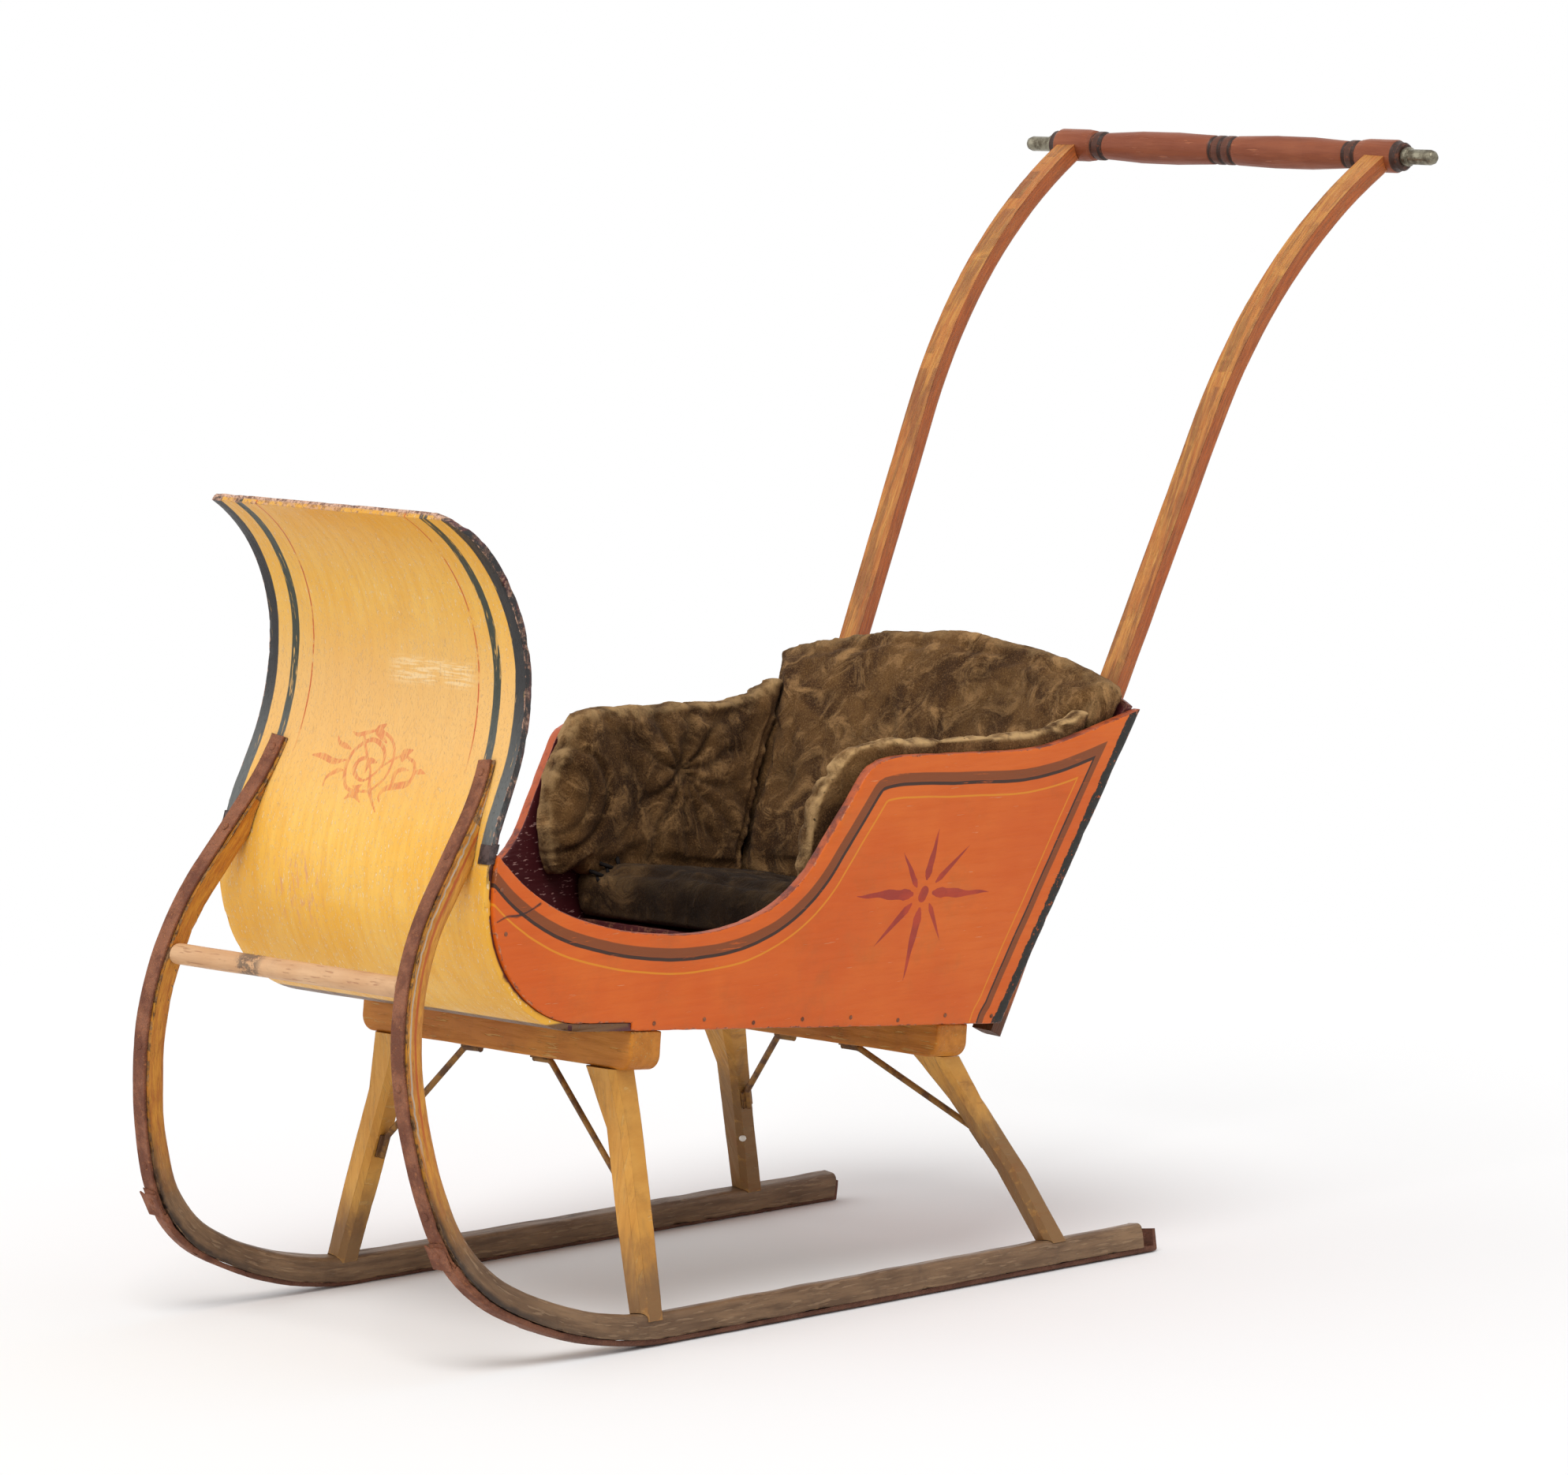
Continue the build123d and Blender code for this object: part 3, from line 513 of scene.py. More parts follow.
def makeDash():
    look = dashLook
    bm = dressedBoard("dash_board", look)
    centreY, centreZ = look["scrollCentre"]
    reachY, reachZ = look["scrollReach"]

    def byScroll(place):
        return abs(place.y - centreY) < reachY and abs(place.z - centreZ) < reachZ

    fronts = [face for face in bm.faces if face.normal.x > 0.3 and byScroll(face.calc_center_median())]
    cutFiner(bm, fronts, look["scrollCuts"])
    tidyFaces(bm)
    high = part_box("dash_board")[1]
    tables = dashEdges("dash_board")
    cornerHeight, run = high.z - look["cornerDrop"], look["sideRun"]
    sideLayer = bm.verts.layers.float.new("sideMm")
    topLayer = bm.verts.layers.float.new("topMm")
    scrollLayer = bm.verts.layers.float.new("scroll")
    for vert in bm.verts:
        heights, widths = tables[1 if vert.co.y > 0 else -1]
        z = vert.co.z
        if z > cornerHeight:
            # above the rounded corners, the side's line runs on
            w0, w1 = np.interp([cornerHeight - run, cornerHeight], heights, widths)
            width = w1 + (w1 - w0) * (z - cornerHeight) / run
        else:
            width = np.interp(z, heights, widths)
        vert[sideLayer] = (width - abs(vert.co.y)) / millimetre
        vert[topLayer] = farMm
    topEdge = [vert.co for vert in bm.verts if vert.co.x > high.x - 0.2 and vert.co.z > high.z - 0.004]
    topTree = pointTree(topEdge)
    for vert in bm.verts:
        if vert.co.z > high.z - 0.05:
            vert[topLayer] = min(topTree.find(vert.co)[2] / millimetre, farMm)
    near = [vert for vert in bm.verts if vert.normal.x > 0.2 and byScroll(vert.co)]
    places = np.array([((v.co.y - centreY) / millimetre, (v.co.z - centreZ) / millimetre) for v in near])
    depth = np.full(len(near), -1e9)
    for points, widths in scrollStrokes:
        depth = np.maximum(depth, strokeDepth(places, strokeLine(points), widths))
    paintLayer(near, scrollLayer, depth, 1.2)
    return settle(makeObject("dashBoard", bm), ["dash_board"], "dash_paint", dashMaterial())


# Side panels

sideLook = {
    "grain": "x",
    "paint": srgb(210, 92, 18), "paintPale": srgb(218, 104, 26), "paintDeep": srgb(196, 78, 16),
    "fleck": srgb(232, 156, 108), "dirt": srgb(150, 84, 36), "fleckFrom": 0.70, "fleckShare": 0.45,
    "brushShare": 0.25, "dirtShare": 0.3, "dirtScale": 14.0,
    "edge": srgb(196, 128, 92), "edgeDeep": srgb(92, 44, 34), "edgeReachMm": 2.6,
    "roundMm": 1.5, "cellsMm": (6.0, 0.0, 6.0),
    "brown": srgb(112, 60, 26), "black": srgb(34, 30, 24), "gold": srgb(222, 142, 24),
    "purple": srgb(86, 44, 44), "inside": srgb(82, 32, 36), "insideFleck": srgb(206, 160, 152),
    # painted lines, in millimetres in from the rim; rearShiftMm further in at the rear
    "rimBandMm": (11.5, 19.5), "rimLineMm": (19.5, 22.6), "goldMm": (32.0, 33.6), "rearShiftMm": 5.5,
    # and in from the raked rear edge
    "rearBlackMm": 11.0, "rearBandMm": (22.5, 28.5), "rearLineMm": (28.5, 30.6),
    "rearGoldMm": (38.0, 39.2),
    "grime": srgb(150, 98, 44), "rimHeld": srgb(176, 84, 48),
    "starCentre": (0.0105, 0.3444), "starReach": (0.088, 0.080), "starCuts": 6,
    "star": srgb(172, 52, 36), "starDeep": srgb(146, 40, 38),
    # the old split near the rim's front end, forward and up, on the left only
    "split": [(444.7, 376.6), (456.0, 371.8), (469.0, 368.9), (480.0, 369.4), (492.0, 365.9)],
    "splitDepth": 0.0008, "splitDark": srgb(52, 36, 32),
    "splitRegion": (0.436, 0.498, 0.352, 0.390), "splitCuts": 5,
}

# rays of the star; columns: root forward, root up, tip forward, tip up, widest, waviness
starRays = [
    (14.0, 1.2, 80.0, 6.0, 12.0, 0.5),
    (-12.0, 0.2, -80.0, -6.0, 11.0, 0.5),
    (-2.6, 13.5, -12.1, 56.0, 9.5, 0.25),
    (-14.0, 9.5, -51.0, 38.5, 6.6, 0.0),
    (9.0, 7.5, 28.1, 39.0, 7.0, 0.2),
    (13.5, -7.5, 54.2, -40.5, 8.0, 0.0),
    (2.8, -13.0, 14.4, -74.0, 11.0, 0.25),
    (-8.5, -9.5, -25.8, -43.5, 6.0, 0.0),
]


def rayStroke(row):
    x0, z0, x1, z1, widest, waves = row
    shares = [i / 14 for i in range(15)]
    points, widths = [], []
    across = Vector((z1 - z0, x0 - x1)).normalized()
    for t in shares:
        swing = waves * 2.2 * sin(t * 9.0) * t
        points.append(Vector((x0 + (x1 - x0) * t, z0 + (z1 - z0) * t)) + across * swing)
        swell = min(1.0, (t + 0.06) / 0.2) * (1.0 - t) ** 0.8
        widths.append(max(0.5, widest * swell * (1.0 + waves * 0.35 * sin(t * 16.0 + 1.0))))
    return points, widths


def outlineDistances(node, sign):
    # the rim and the rear edge of the outer face, as points in the side view
    bm = mergedCopy(node)
    outer = {face for face in bm.faces if face.normal.y * sign > 0.8}
    border = [e for e in bm.edges if len([f for f in e.link_faces if f in outer]) == 1]
    points = alongEdges(border)
    bm.free()
    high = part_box(node)[1]
    rearTop = max(points, key=lambda p: p.z - p.x)
    rearBottom = min(points, key=lambda p: p.x * 0.3 + p.z)
    tip = max((p for p in points if p.x > high.x - 0.08), key=lambda p: p.z)
    rake = Vector((rearBottom.x - rearTop.x, 0.0, rearBottom.z - rearTop.z))
    top = {}
    for p in points:
        column = round(p.x / 0.004)
        top[column] = max(p.z, top.get(column, 0.0))
    rear, rim = [], []
    for p in points:
        along = Vector((p.x - rearTop.x, 0.0, p.z - rearTop.z))
        flat = Vector((p.x, 0.0, p.z))
        if abs(along.cross(rake).length / rake.length) < 0.0015:
            rear.append(flat)
        elif rearTop.x < p.x < tip.x and p.z > top[round(p.x / 0.004)] - 0.008:
            rim.append(flat)
    return pointTree(rim), pointTree(rear)


def sideMaterial(sign):
    mat, tree = startMaterial(f"sidePaint{'Left' if sign > 0 else 'Right'}")
    look = sideLook
    colour, height = oldPaint(tree, look)
    plain = objectCoords(tree)
    # grey-green grime in the middle of the panel
    grime = patches(tree, objectCoords(tree, (1, 1, 1), (3, 0, 1)), 7.0, 0.5, 0.68, 6.0, 0.75)
    colour = mixed(tree, times(tree, grime, 0.22), colour, look["grime"])
    wobble = times(tree, sums(tree, "SUBTRACT", grainNoise(tree, plain, 16.0, 2.0), 0.5), 2.6)
    rearward = rise(tree, axisValue(tree, 0), -0.08, 0.30, look["rearShiftMm"], 0.0)
    rim = sums(tree, "SUBTRACT", sums(tree, "ADD", layerValue(tree, "rimMm"), wobble), rearward)
    rear = sums(tree, "ADD", layerValue(tree, "rearMm"), wobble)
    worn = patches(tree, grainCoords(tree, "x"), 260.0, 0.62, 0.72, 4.0, 0.7, 1.0, 0.35)
    pairs = [
        ("rimBandMm", "rearBandMm", look["brown"], 0.5, 0.86),
        ("rimLineMm", "rearLineMm", look["black"], 0.35, 0.95),
        ("goldMm", "rearGoldMm", look["gold"], 0.4, 0.85),
    ]
    for rimKey, rearKey, paint, soft, share in pairs:
        rimStart, rimEnd = look[rimKey]
        rearStart, rearEnd = look[rearKey]
        alongRim = times(tree, band(tree, rim, rimStart, rimEnd, soft),
                         rise(tree, rear, rearStart - soft, rearStart + soft))
        alongRear = times(tree, band(tree, rear, rearStart, rearEnd, soft),
                          rise(tree, rim, rimStart - soft, rimStart + soft))
        line = times(tree, sums(tree, "MAXIMUM", alongRim, alongRear), worn)
        colour = mixed(tree, times(tree, line, share), colour, paint)
    star = rise(tree, layerValue(tree, "star"), 0.35, 0.6)
    starPaint = mixed(tree, patches(tree, plain, 40.0, 0.4, 0.6, 3.0), look["star"], look["starDeep"])
    colour = mixed(tree, times(tree, star, 0.85), colour, starPaint)
    # the black rear edge, with a ragged border and chips
    ragged = patches(tree, objectCoords(tree, (1, 1, 1), (0, 0, 5)), 90.0, 0.3, 0.7, 6.0, 0.8, -1.2, 1.2)
    blackEdge = sums(tree, "SUBTRACT", layerValue(tree, "rearMm"), ragged)
    blackEdge = rise(tree, blackEdge, look["rearBlackMm"] - 0.6, look["rearBlackMm"] + 0.4, 1.0, 0.0)
    chips = patches(tree, objectCoords(tree, (1, 1, 1), (2, 1, 0)), 210.0, 0.60, 0.64, 5.0, 0.8, 1.0, 0.15)
    colour = mixed(tree, times(tree, blackEdge, chips), colour, look["black"])
    colour = mixed(tree, times(tree, layerValue(tree, "split"), 0.9), colour, look["splitDark"])
    colour = wornEdges(tree, colour, look)
    # the rim's own edge is worn dark purple, with orange where the paint holds
    upward = rise(tree, normalValue(tree, 2), 0.35, 0.6)
    rimPaint = mixed(tree, patches(tree, plain, 34.0, 0.4, 0.55, 5.0, 0.7), look["purple"], look["rimHeld"])
    colour = mixed(tree, times(tree, upward, 0.85), colour, rimPaint)
    inward = rise(tree, times(tree, normalValue(tree, 1), -float(sign)), 0.55, 0.75)
    pale = patches(tree, objectCoords(tree, (0.2, 1, 1)), 520.0, 0.62, 0.66, 2.0)
    inside = mixed(tree, times(tree, pale, 0.85), look["inside"], look["insideFleck"])
    colour = mixed(tree, inward, colour, inside)
    shade(tree, colour, rise(tree, height, 0.0, 0.6, 0.36, 0.52), height, 0.0003)
    return mat


def makeSide(side):
    look = sideLook
    node = f"side_panel_{side}"
    sign = 1 if side == "left" else -1
    bm = dressedBoard(node, look)
    centreX, centreZ = look["starCentre"]
    reachX, reachZ = look["starReach"]
    x0, x1, z0, z1 = look["splitRegion"]

    def byStar(place, normal):
        return normal.y * sign > 0.5 and abs(place.x - centreX) < reachX and abs(place.z - centreZ) < reachZ

    def bySplit(place, normal):
        return side == "left" and normal.y > 0.5 and x0 < place.x < x1 and z0 < place.z < z1

    for inside, cuts in ((byStar, look["starCuts"]), (bySplit, look["splitCuts"])):
        faces = [face for face in bm.faces if inside(face.calc_center_median(), face.normal)]
        if faces:
            cutFiner(bm, faces, cuts)
    tidyFaces(bm)
    rimTree, rearTree = outlineDistances(node, sign)
    rimLayer = bm.verts.layers.float.new("rimMm")
    rearLayer = bm.verts.layers.float.new("rearMm")
    starLayer = bm.verts.layers.float.new("star")
    splitLayer = bm.verts.layers.float.new("split")
    for vert in bm.verts:
        flat = Vector((vert.co.x, 0.0, vert.co.z))
        vert[rimLayer] = rimTree.find(flat)[2] / millimetre
        vert[rearLayer] = rearTree.find(flat)[2] / millimetre
    near = [vert for vert in bm.verts if byStar(vert.co, vert.normal)]
    places = np.array([((v.co.x - centreX) / millimetre, (v.co.z - centreZ) / millimetre) for v in near])
    depth = strokeDepth(places, [Vector((1.2, -2.4)), Vector((-1.2, 2.4))], (9.5, 9.5))
    for row in starRays:
        points, widths = rayStroke(row)
        depth = np.maximum(depth, strokeDepth(places, points, widths))
    paintLayer(near, starLayer, depth, 1.2)
    near = [vert for vert in bm.verts if bySplit(vert.co, vert.normal)]
    if near:
        places = np.array([(v.co.x / millimetre, v.co.z / millimetre) for v in near])
        depth = strokeDepth(places, strokeLine(look["split"]), (2.2, 1.2, 2.6, 1.6, 1.0))
        paintLayer(near, splitLayer, depth, 0.9)
        for vert in near:
            vert.co -= vert.normal * look["splitDepth"] * vert[splitLayer]
    piece = makeObject(f"sidePanel{side.capitalize()}", bm)
    return settle(piece, [node], "side_paint", sideMaterial(sign))


# Plain boards, posts and rods: one look for each finish

boardLooks = {
    "maroon": {
        "grain": "x",
        "paint": srgb(84, 34, 38), "paintPale": srgb(96, 42, 44), "paintDeep": srgb(62, 24, 28),
        "fleck": srgb(196, 150, 140), "dirt": srgb(48, 30, 28), "fleckFrom": 0.68, "fleckShare": 0.8,
        "edge": srgb(150, 100, 76), "edgeDeep": srgb(70, 36, 30), "roundMm": 1.2, "cellsMm": (8.0, 8.0, 0.0),
    },
    "ochre": {
        "grain": "y",
        "paint": srgb(180, 104, 24), "paintPale": srgb(200, 128, 38), "paintDeep": srgb(128, 68, 20),
        "fleck": srgb(206, 158, 84), "dirt": srgb(104, 64, 26), "fleckFrom": 0.62, "fleckShare": 0.6,
        "dirtShare": 0.5, "edge": srgb(206, 158, 84), "edgeDeep": srgb(128, 78, 34), "edgeReachMm": 3.5,
        "roundMm": 1.6, "cellsMm": (5.0, 6.0, 5.0), "waveMm": 0.5, "chipMm": 1.4,
    },
    "leg": {
        "grain": "z",
        "paint": srgb(202, 142, 58), "paintPale": srgb(214, 160, 78), "paintDeep": srgb(172, 110, 42),
        "fleck": srgb(216, 172, 100), "dirt": srgb(116, 76, 34), "fleckFrom": 0.62, "fleckShare": 0.5,
        "dirtShare": 0.45, "edge": srgb(206, 154, 80), "edgeDeep": srgb(176, 120, 52), "edgeReachMm": 1.0,
        "edgeShare": 0.4, "roundMm": 0.8, "cellsMm": (8.0, 8.0, 6.0), "waveMm": 0.3, "chipMm": 0.3,
    },
    "runner": {
        "grain": "bent",
        "paint": srgb(116, 88, 62), "paintPale": srgb(140, 110, 80), "paintDeep": srgb(78, 56, 40),
        "fleck": srgb(166, 136, 104), "dirt": srgb(62, 44, 34), "fleckFrom": 0.58, "fleckShare": 0.4,
        "dirtShare": 0.6, "brushShare": 0.7, "edge": srgb(142, 110, 78), "edgeDeep": srgb(84, 60, 44),
        "edgeReachMm": 1.4, "roundMm": 0.9, "cellsMm": (8.0, 0.0, 8.0), "waveMm": 0.7, "chipMm": 1.2,
    },
    "arm": {
        "grain": "bent",
        "paint": srgb(186, 112, 48), "paintPale": srgb(204, 138, 66), "paintDeep": srgb(150, 76, 36),
        "fleck": srgb(210, 154, 80), "dirt": srgb(124, 66, 38), "fleckFrom": 0.56, "fleckShare": 0.6,
        "dirtShare": 0.3, "brush": 420.0, "brushShare": 0.7, "fleckScale": 700.0, "fleckStretch": 0.05,
        "edge": srgb(170, 104, 54), "edgeDeep": srgb(140, 80, 44), "edgeReachMm": 0.5, "edgeShare": 0.35,
        "roundMm": 0.6, "cellsMm": (9.0, 0.0, 9.0), "waveMm": 0.3, "chipMm": 0.25,
    },
    "bar": {
        "grain": "y",
        "paint": srgb(132, 66, 36), "paintPale": srgb(152, 84, 48), "paintDeep": srgb(98, 44, 28),
        "fleck": srgb(176, 104, 68), "dirt": srgb(66, 34, 28), "fleckFrom": 0.66, "fleckShare": 0.5,
        "edge": srgb(150, 84, 54), "edgeDeep": srgb(80, 40, 30), "edgeReachMm": 0.6,
        "roundMm": 0.3, "cellsMm": (0.0, 6.0, 0.0), "waveMm": 0.1, "chipMm": 0.3,
    },
    "dowel": {
        "grain": "y",
        "paint": srgb(206, 160, 116), "paintPale": srgb(220, 180, 138), "paintDeep": srgb(176, 128, 92),
        "fleck": srgb(160, 100, 66), "dirt": srgb(120, 86, 62), "fleckFrom": 0.62, "fleckShare": 0.5,
        "edge": srgb(190, 150, 112), "edgeDeep": srgb(140, 98, 70), "edgeReachMm": 1.0,
        "roundMm": 1.0, "cellsMm": (0.0, 8.0, 0.0), "waveMm": 0.3, "chipMm": 0.6,
    },
}


def boardMaterial(name, look, extra=None):
    mat, tree = startMaterial(name)
    colour, height = oldPaint(tree, look)
    if extra:
        colour = extra(tree, colour)
    colour = wornEdges(tree, colour, look)
    shade(tree, colour, rise(tree, height, 0.0, 0.6, 0.42, 0.6), height, 0.0004)
    return mat


legWear = {"footWood": srgb(102, 76, 54), "streak": srgb(132, 84, 42), "footHeights": (0.085, 0.150),
           "rearLift": 0.075, "streakShare": 0.3, "rearStreaks": 0.25}


def legFinish(tree, colour):
    # paint worn to grey-brown wood at the feet, and brown streaks down the grain
    look = legWear
    # the rear legs are worn higher up
    rearward = rise(tree, axisValue(tree, 0), -0.05, 0.05, 1.0, 0.0)
    high = sums(tree, "SUBTRACT", axisValue(tree, 2), times(tree, rearward, look["rearLift"]))
    ragged = grainNoise(tree, objectCoords(tree, (1, 1, 0.25)), 60.0, 5.0, 0.7)
    high = sums(tree, "ADD", high, times(tree, ragged, 0.09))
    foot = rise(tree, high, *look["footHeights"], 1.0, 0.0)
    colour = mixed(tree, times(tree, foot, 0.8), colour, look["footWood"])
    worn = patches(tree, grainCoords(tree, "z"), 220.0, 0.5, 0.68, 5.0, 0.75)
    share = sums(tree, "ADD", times(tree, rearward, look["rearStreaks"]), look["streakShare"])
    return mixed(tree, times(tree, worn, share), colour, look["streak"])


runnerWear = {
    "ochre": srgb(204, 142, 54), "ochreDeep": srgb(176, 108, 44), "red": srgb(172, 74, 36),
    "silver": srgb(176, 176, 166), "soot": srgb(38, 30, 26),
    # heights where the paint takes over from bare wood, where the lines start, and of the soot and painted
    # shade by the iron
    "paintHeights": (0.125, 0.225), "lineHeights": (0.16, 0.22), "sootHeights": (0.03, 0.15),
    # the lines, in millimetres in from the iron
    "redMm": (8.2, 10.4), "silverMm": (4.2, 5.4), "sootShadeMm": 4.5,
}


def runnerFinish(tree, colour):
    # bare grey wood along the ground; ochre paint up the curl with red and silver lines; soot with painted
    # shade in the gap by the iron
    look = runnerWear
    high = axisValue(tree, 2)
    ragged = grainNoise(tree, objectCoords(tree), 40.0, 5.0, 0.7)
    painted = rise(tree, sums(tree, "ADD", high, times(tree, ragged, 0.08)), *look["paintHeights"])
    streak = patches(tree, grainCoords(tree, "bent"), 260.0, 0.35, 0.65, 5.0, 0.75)
    colour = mixed(tree, painted, colour, mixed(tree, streak, look["ochre"], look["ochreDeep"]))
    iron = layerValue(tree, "ironMm")
    outside = rise(tree, layerValue(tree, "outward"), 0.6, 0.85)
    outside = times(tree, outside, rise(tree, high, *look["lineHeights"]))
    red = times(tree, band(tree, iron, *look["redMm"], 0.5), outside)
    colour = mixed(tree, times(tree, red, 0.8), colour, look["red"])
    silver = times(tree, band(tree, iron, *look["silverMm"], 0.3), outside)
    colour = mixed(tree, times(tree, silver, 0.65), colour, look["silver"])
    # soot, with painted shade in the gap between the wood and the iron
    soot = sums(tree, "SUBTRACT", iron, times(tree, ragged, 6.0))
    soot = rise(tree, soot, 0.0, look["sootShadeMm"], 1.0, 0.0)
    soot = times(tree, soot, band(tree, high, *look["sootHeights"], 0.03))
    return mixed(tree, times(tree, soot, 0.85), colour, look["soot"])


armWear = {
    "red": srgb(184, 92, 42), "redDeep": srgb(140, 68, 38), "yellow": srgb(206, 150, 72),
    "yellowDeep": srgb(176, 106, 50), "edgeLine": srgb(96, 52, 34), "foot": srgb(72, 46, 32),
    "footHeights": (0.218, 0.236),
}


def armFinish(tree, colour):
    # redder on the outer and inner faces, yellow where the stain has worn off the front
    look = armWear
    beside = rise(tree, sums(tree, "ABSOLUTE", normalValue(tree, 1)), 0.6, 0.85)
    fibres = grainNoise(tree, grainCoords(tree, "bent", 0.04), 520.0, 5.0, 0.75)
    red = mixed(tree, rise(tree, fibres, 0.35, 0.65), look["red"], look["redDeep"])
    colour = mixed(tree, times(tree, beside, 0.75), colour, red)
    cloud = patches(tree, grainCoords(tree, "bent", 0.05), 90.0, 0.40, 0.60)
    front = times(tree, sums(tree, "SUBTRACT", 1.0, beside), cloud)
    yellow = mixed(tree, rise(tree, fibres, 0.4, 0.6), look["yellow"], look["yellowDeep"])
    colour = mixed(tree, times(tree, front, 0.7), colour, yellow)
    line = band(tree, layerValue(tree, "edgeMm"), -1.0, 0.7, 0.3)
    line = times(tree, line, patches(tree, grainCoords(tree, "bent"), 90.0, 0.5, 0.6, 3.0))
    colour = mixed(tree, times(tree, line, 0.45), colour, look["edgeLine"])
    foot = rise(tree, axisValue(tree, 2), *look["footHeights"], 0.85, 0.0)
    return mixed(tree, foot, colour, look["foot"])


# black in the bar's turned grooves; columns: distances from the middle, share of black
barRings = ((-0.001, 0.0145, 0.6), (-0.001, 0.0025, 0.8), (0.010, 0.014, 0.8), (0.1505, 0.1585, 0.75),
            (0.1465, 0.1515, 0.9), (0.158, 0.162, 0.9), (0.2055, 0.2145, 0.9))
grooveBlack = srgb(36, 28, 24)


def barFinish(tree, colour):
    across = sums(tree, "ABSOLUTE", axisValue(tree, 1))
    worn = patches(tree, objectCoords(tree), 200.0, 0.6, 0.72, 4.0, 0.7, 1.0, 0.3)
    for low, high, share in barRings:
        ring = times(tree, band(tree, across, low, high, 0.0006), worn)
        colour = mixed(tree, times(tree, ring, share), colour, grooveBlack)
    return colour


dowelKnot = {"across": (-0.055, -0.028), "colour": srgb(92, 78, 66)}


def dowelFinish(tree, colour):
    # a dark rubbed knot near the middle, where the tow rope was tied
    knot = times(tree, band(tree, axisValue(tree, 1), *dowelKnot["across"], 0.006),
                 patches(tree, objectCoords(tree), 130.0, 0.42, 0.52, 4.0, 0.8))
    return mixed(tree, times(tree, knot, 0.8), colour, dowelKnot["colour"])


backPaint = {"orange": srgb(208, 100, 48), "orangeDeep": srgb(190, 84, 40), "border": srgb(40, 34, 30),
             "borderMm": (6.0, 7.0)}


def backFinish(tree, colour):
    # the back's rear face carries the sides' orange paint, with a dark border
    look = backPaint
    rearward = rise(tree, normalValue(tree, 0), -0.6, -0.4, 1.0, 0.0)
    streak = patches(tree, objectCoords(tree, (1, 0.1, 1)), 150.0, 0.35, 0.7, 5.0, 0.7)
    colour = mixed(tree, rearward, colour, mixed(tree, streak, look["orange"], look["orangeDeep"]))
    dark = times(tree, rise(tree, layerValue(tree, "edgeMm"), *look["borderMm"], 1.0, 0.0), rearward)
    return mixed(tree, times(tree, dark, 0.9), colour, look["border"])


bareWood = {"pale": srgb(150, 116, 80), "deep": srgb(112, 82, 56)}


def underFinish(tree, colour):
    # the floor's underside was never painted
    below = rise(tree, normalValue(tree, 2), -0.8, -0.6, 1.0, 0.0)
    streak = patches(tree, objectCoords(tree, (0.08, 1, 1)), 120.0, 0.35, 0.7, 5.0, 0.7)
    return mixed(tree, below, colour, mixed(tree, streak, bareWood["pale"], bareWood["deep"]))


def makeBoard(node, name, look, slot, mat):
    piece = makeObject(name, dressedBoard(node, look), flatFaces=True)
    return settle(piece, [node], slot, mat)


def camel(node):
    words = node.split("_")
    return words[0] + "".join(word.capitalize() for word in words[1:])


# The side views of the bent pieces' grain: start forward and up, heading in degrees, then rows of
# run length or bend radius in millimetres and turn in degrees
grainLines = {
    "runner": ((-251.8, 15.0), 0.0, [(574.0, 0.0), (386.0, 28.0), (131.0, 44.0), (358.0, 18.0), (228.0, 38.5),
                                    (120.0, 0.0), (200.0, -15.0)]),
    "handle_arm": ((-110.0, 212.0), 116.0, [(578.0, 0.0), (537.0, 33.1), (30.0, 0.0)]),
}


def followGrain(bm, kind):
    # a layer that holds how far along the bent grain each point lies, and how far off its line
    (x, z), heading, rows = grainLines[kind]
    line, along = [], 0.0
    for size, turn in rows:
        length = abs(radians(turn)) * size if turn else size
        steps = max(2, int(length / 6.0))
        for _ in range(steps):
            line.append((Vector((x, 0.0, z)) * millimetre, along * millimetre, radians(heading)))
            heading += turn / steps
            x += cos(radians(heading - turn / steps / 2)) * length / steps
            z += sin(radians(heading - turn / steps / 2)) * length / steps
            along += length / steps
    tree = pointTree([row[0] for row in line])
    layer = bm.verts.layers.float_vector.new("grainAt")
    for vert in bm.verts:
        flat = Vector((vert.co.x, 0.0, vert.co.z))
        place, index = tree.find(flat)[:2]
        turnHere = line[index][2]
        away = flat - place
        vert[layer] = Vector((
            line[index][1] + away.x * cos(turnHere) + away.z * sin(turnHere),
            away.z * cos(turnHere) - away.x * sin(turnHere), vert.co.y,
        ))


def makeArm(side, mat):
    node = f"handle_arm_{side}"
    bm = dressedBoard(node, boardLooks["arm"])
    followGrain(bm, "handle_arm")
    return settle(makeObject(camel(node), bm, flatFaces=True), [node], "handle_wood", mat)


def makeRunner(side, mat):
    node = f"runner_{side}"
    sign = 1.0 if side == "left" else -1.0
    bm = dressedBoard(node, boardLooks["runner"])
    followGrain(bm, "runner")
    edges = bmesh.new()
    for part in ("strap", "shoe"):
        edges.from_mesh(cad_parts[f"{part}_{side}"].data)
    bmesh.ops.remove_doubles(edges, verts=edges.verts, dist=2e-6)
    ironTree = pointTree(alongEdges(edges.edges, 0.004))
    edges.free()
    ironLayer = bm.verts.layers.float.new("ironMm")
    outLayer = bm.verts.layers.float.new("outward")
    for vert in bm.verts:
        vert[ironLayer] = min(ironTree.find(vert.co)[2] / millimetre, 40.0)
        vert[outLayer] = max(0.0, vert.normal.y * sign)
    return settle(makeObject(camel(node), bm, flatFaces=True), [node], "runner_wood", mat)


# Iron

ironLook = {
    "rust": srgb(156, 98, 68), "rustDeep": srgb(118, 70, 52), "bright": srgb(190, 124, 82),
    "scale": srgb(112, 82, 66), "ground": srgb(96, 66, 54), "cellsMm": (5.0, 0.0, 5.0),
    "roundMm": 0.35, "waveMm": 0.35, "chipMm": 0.6,
}

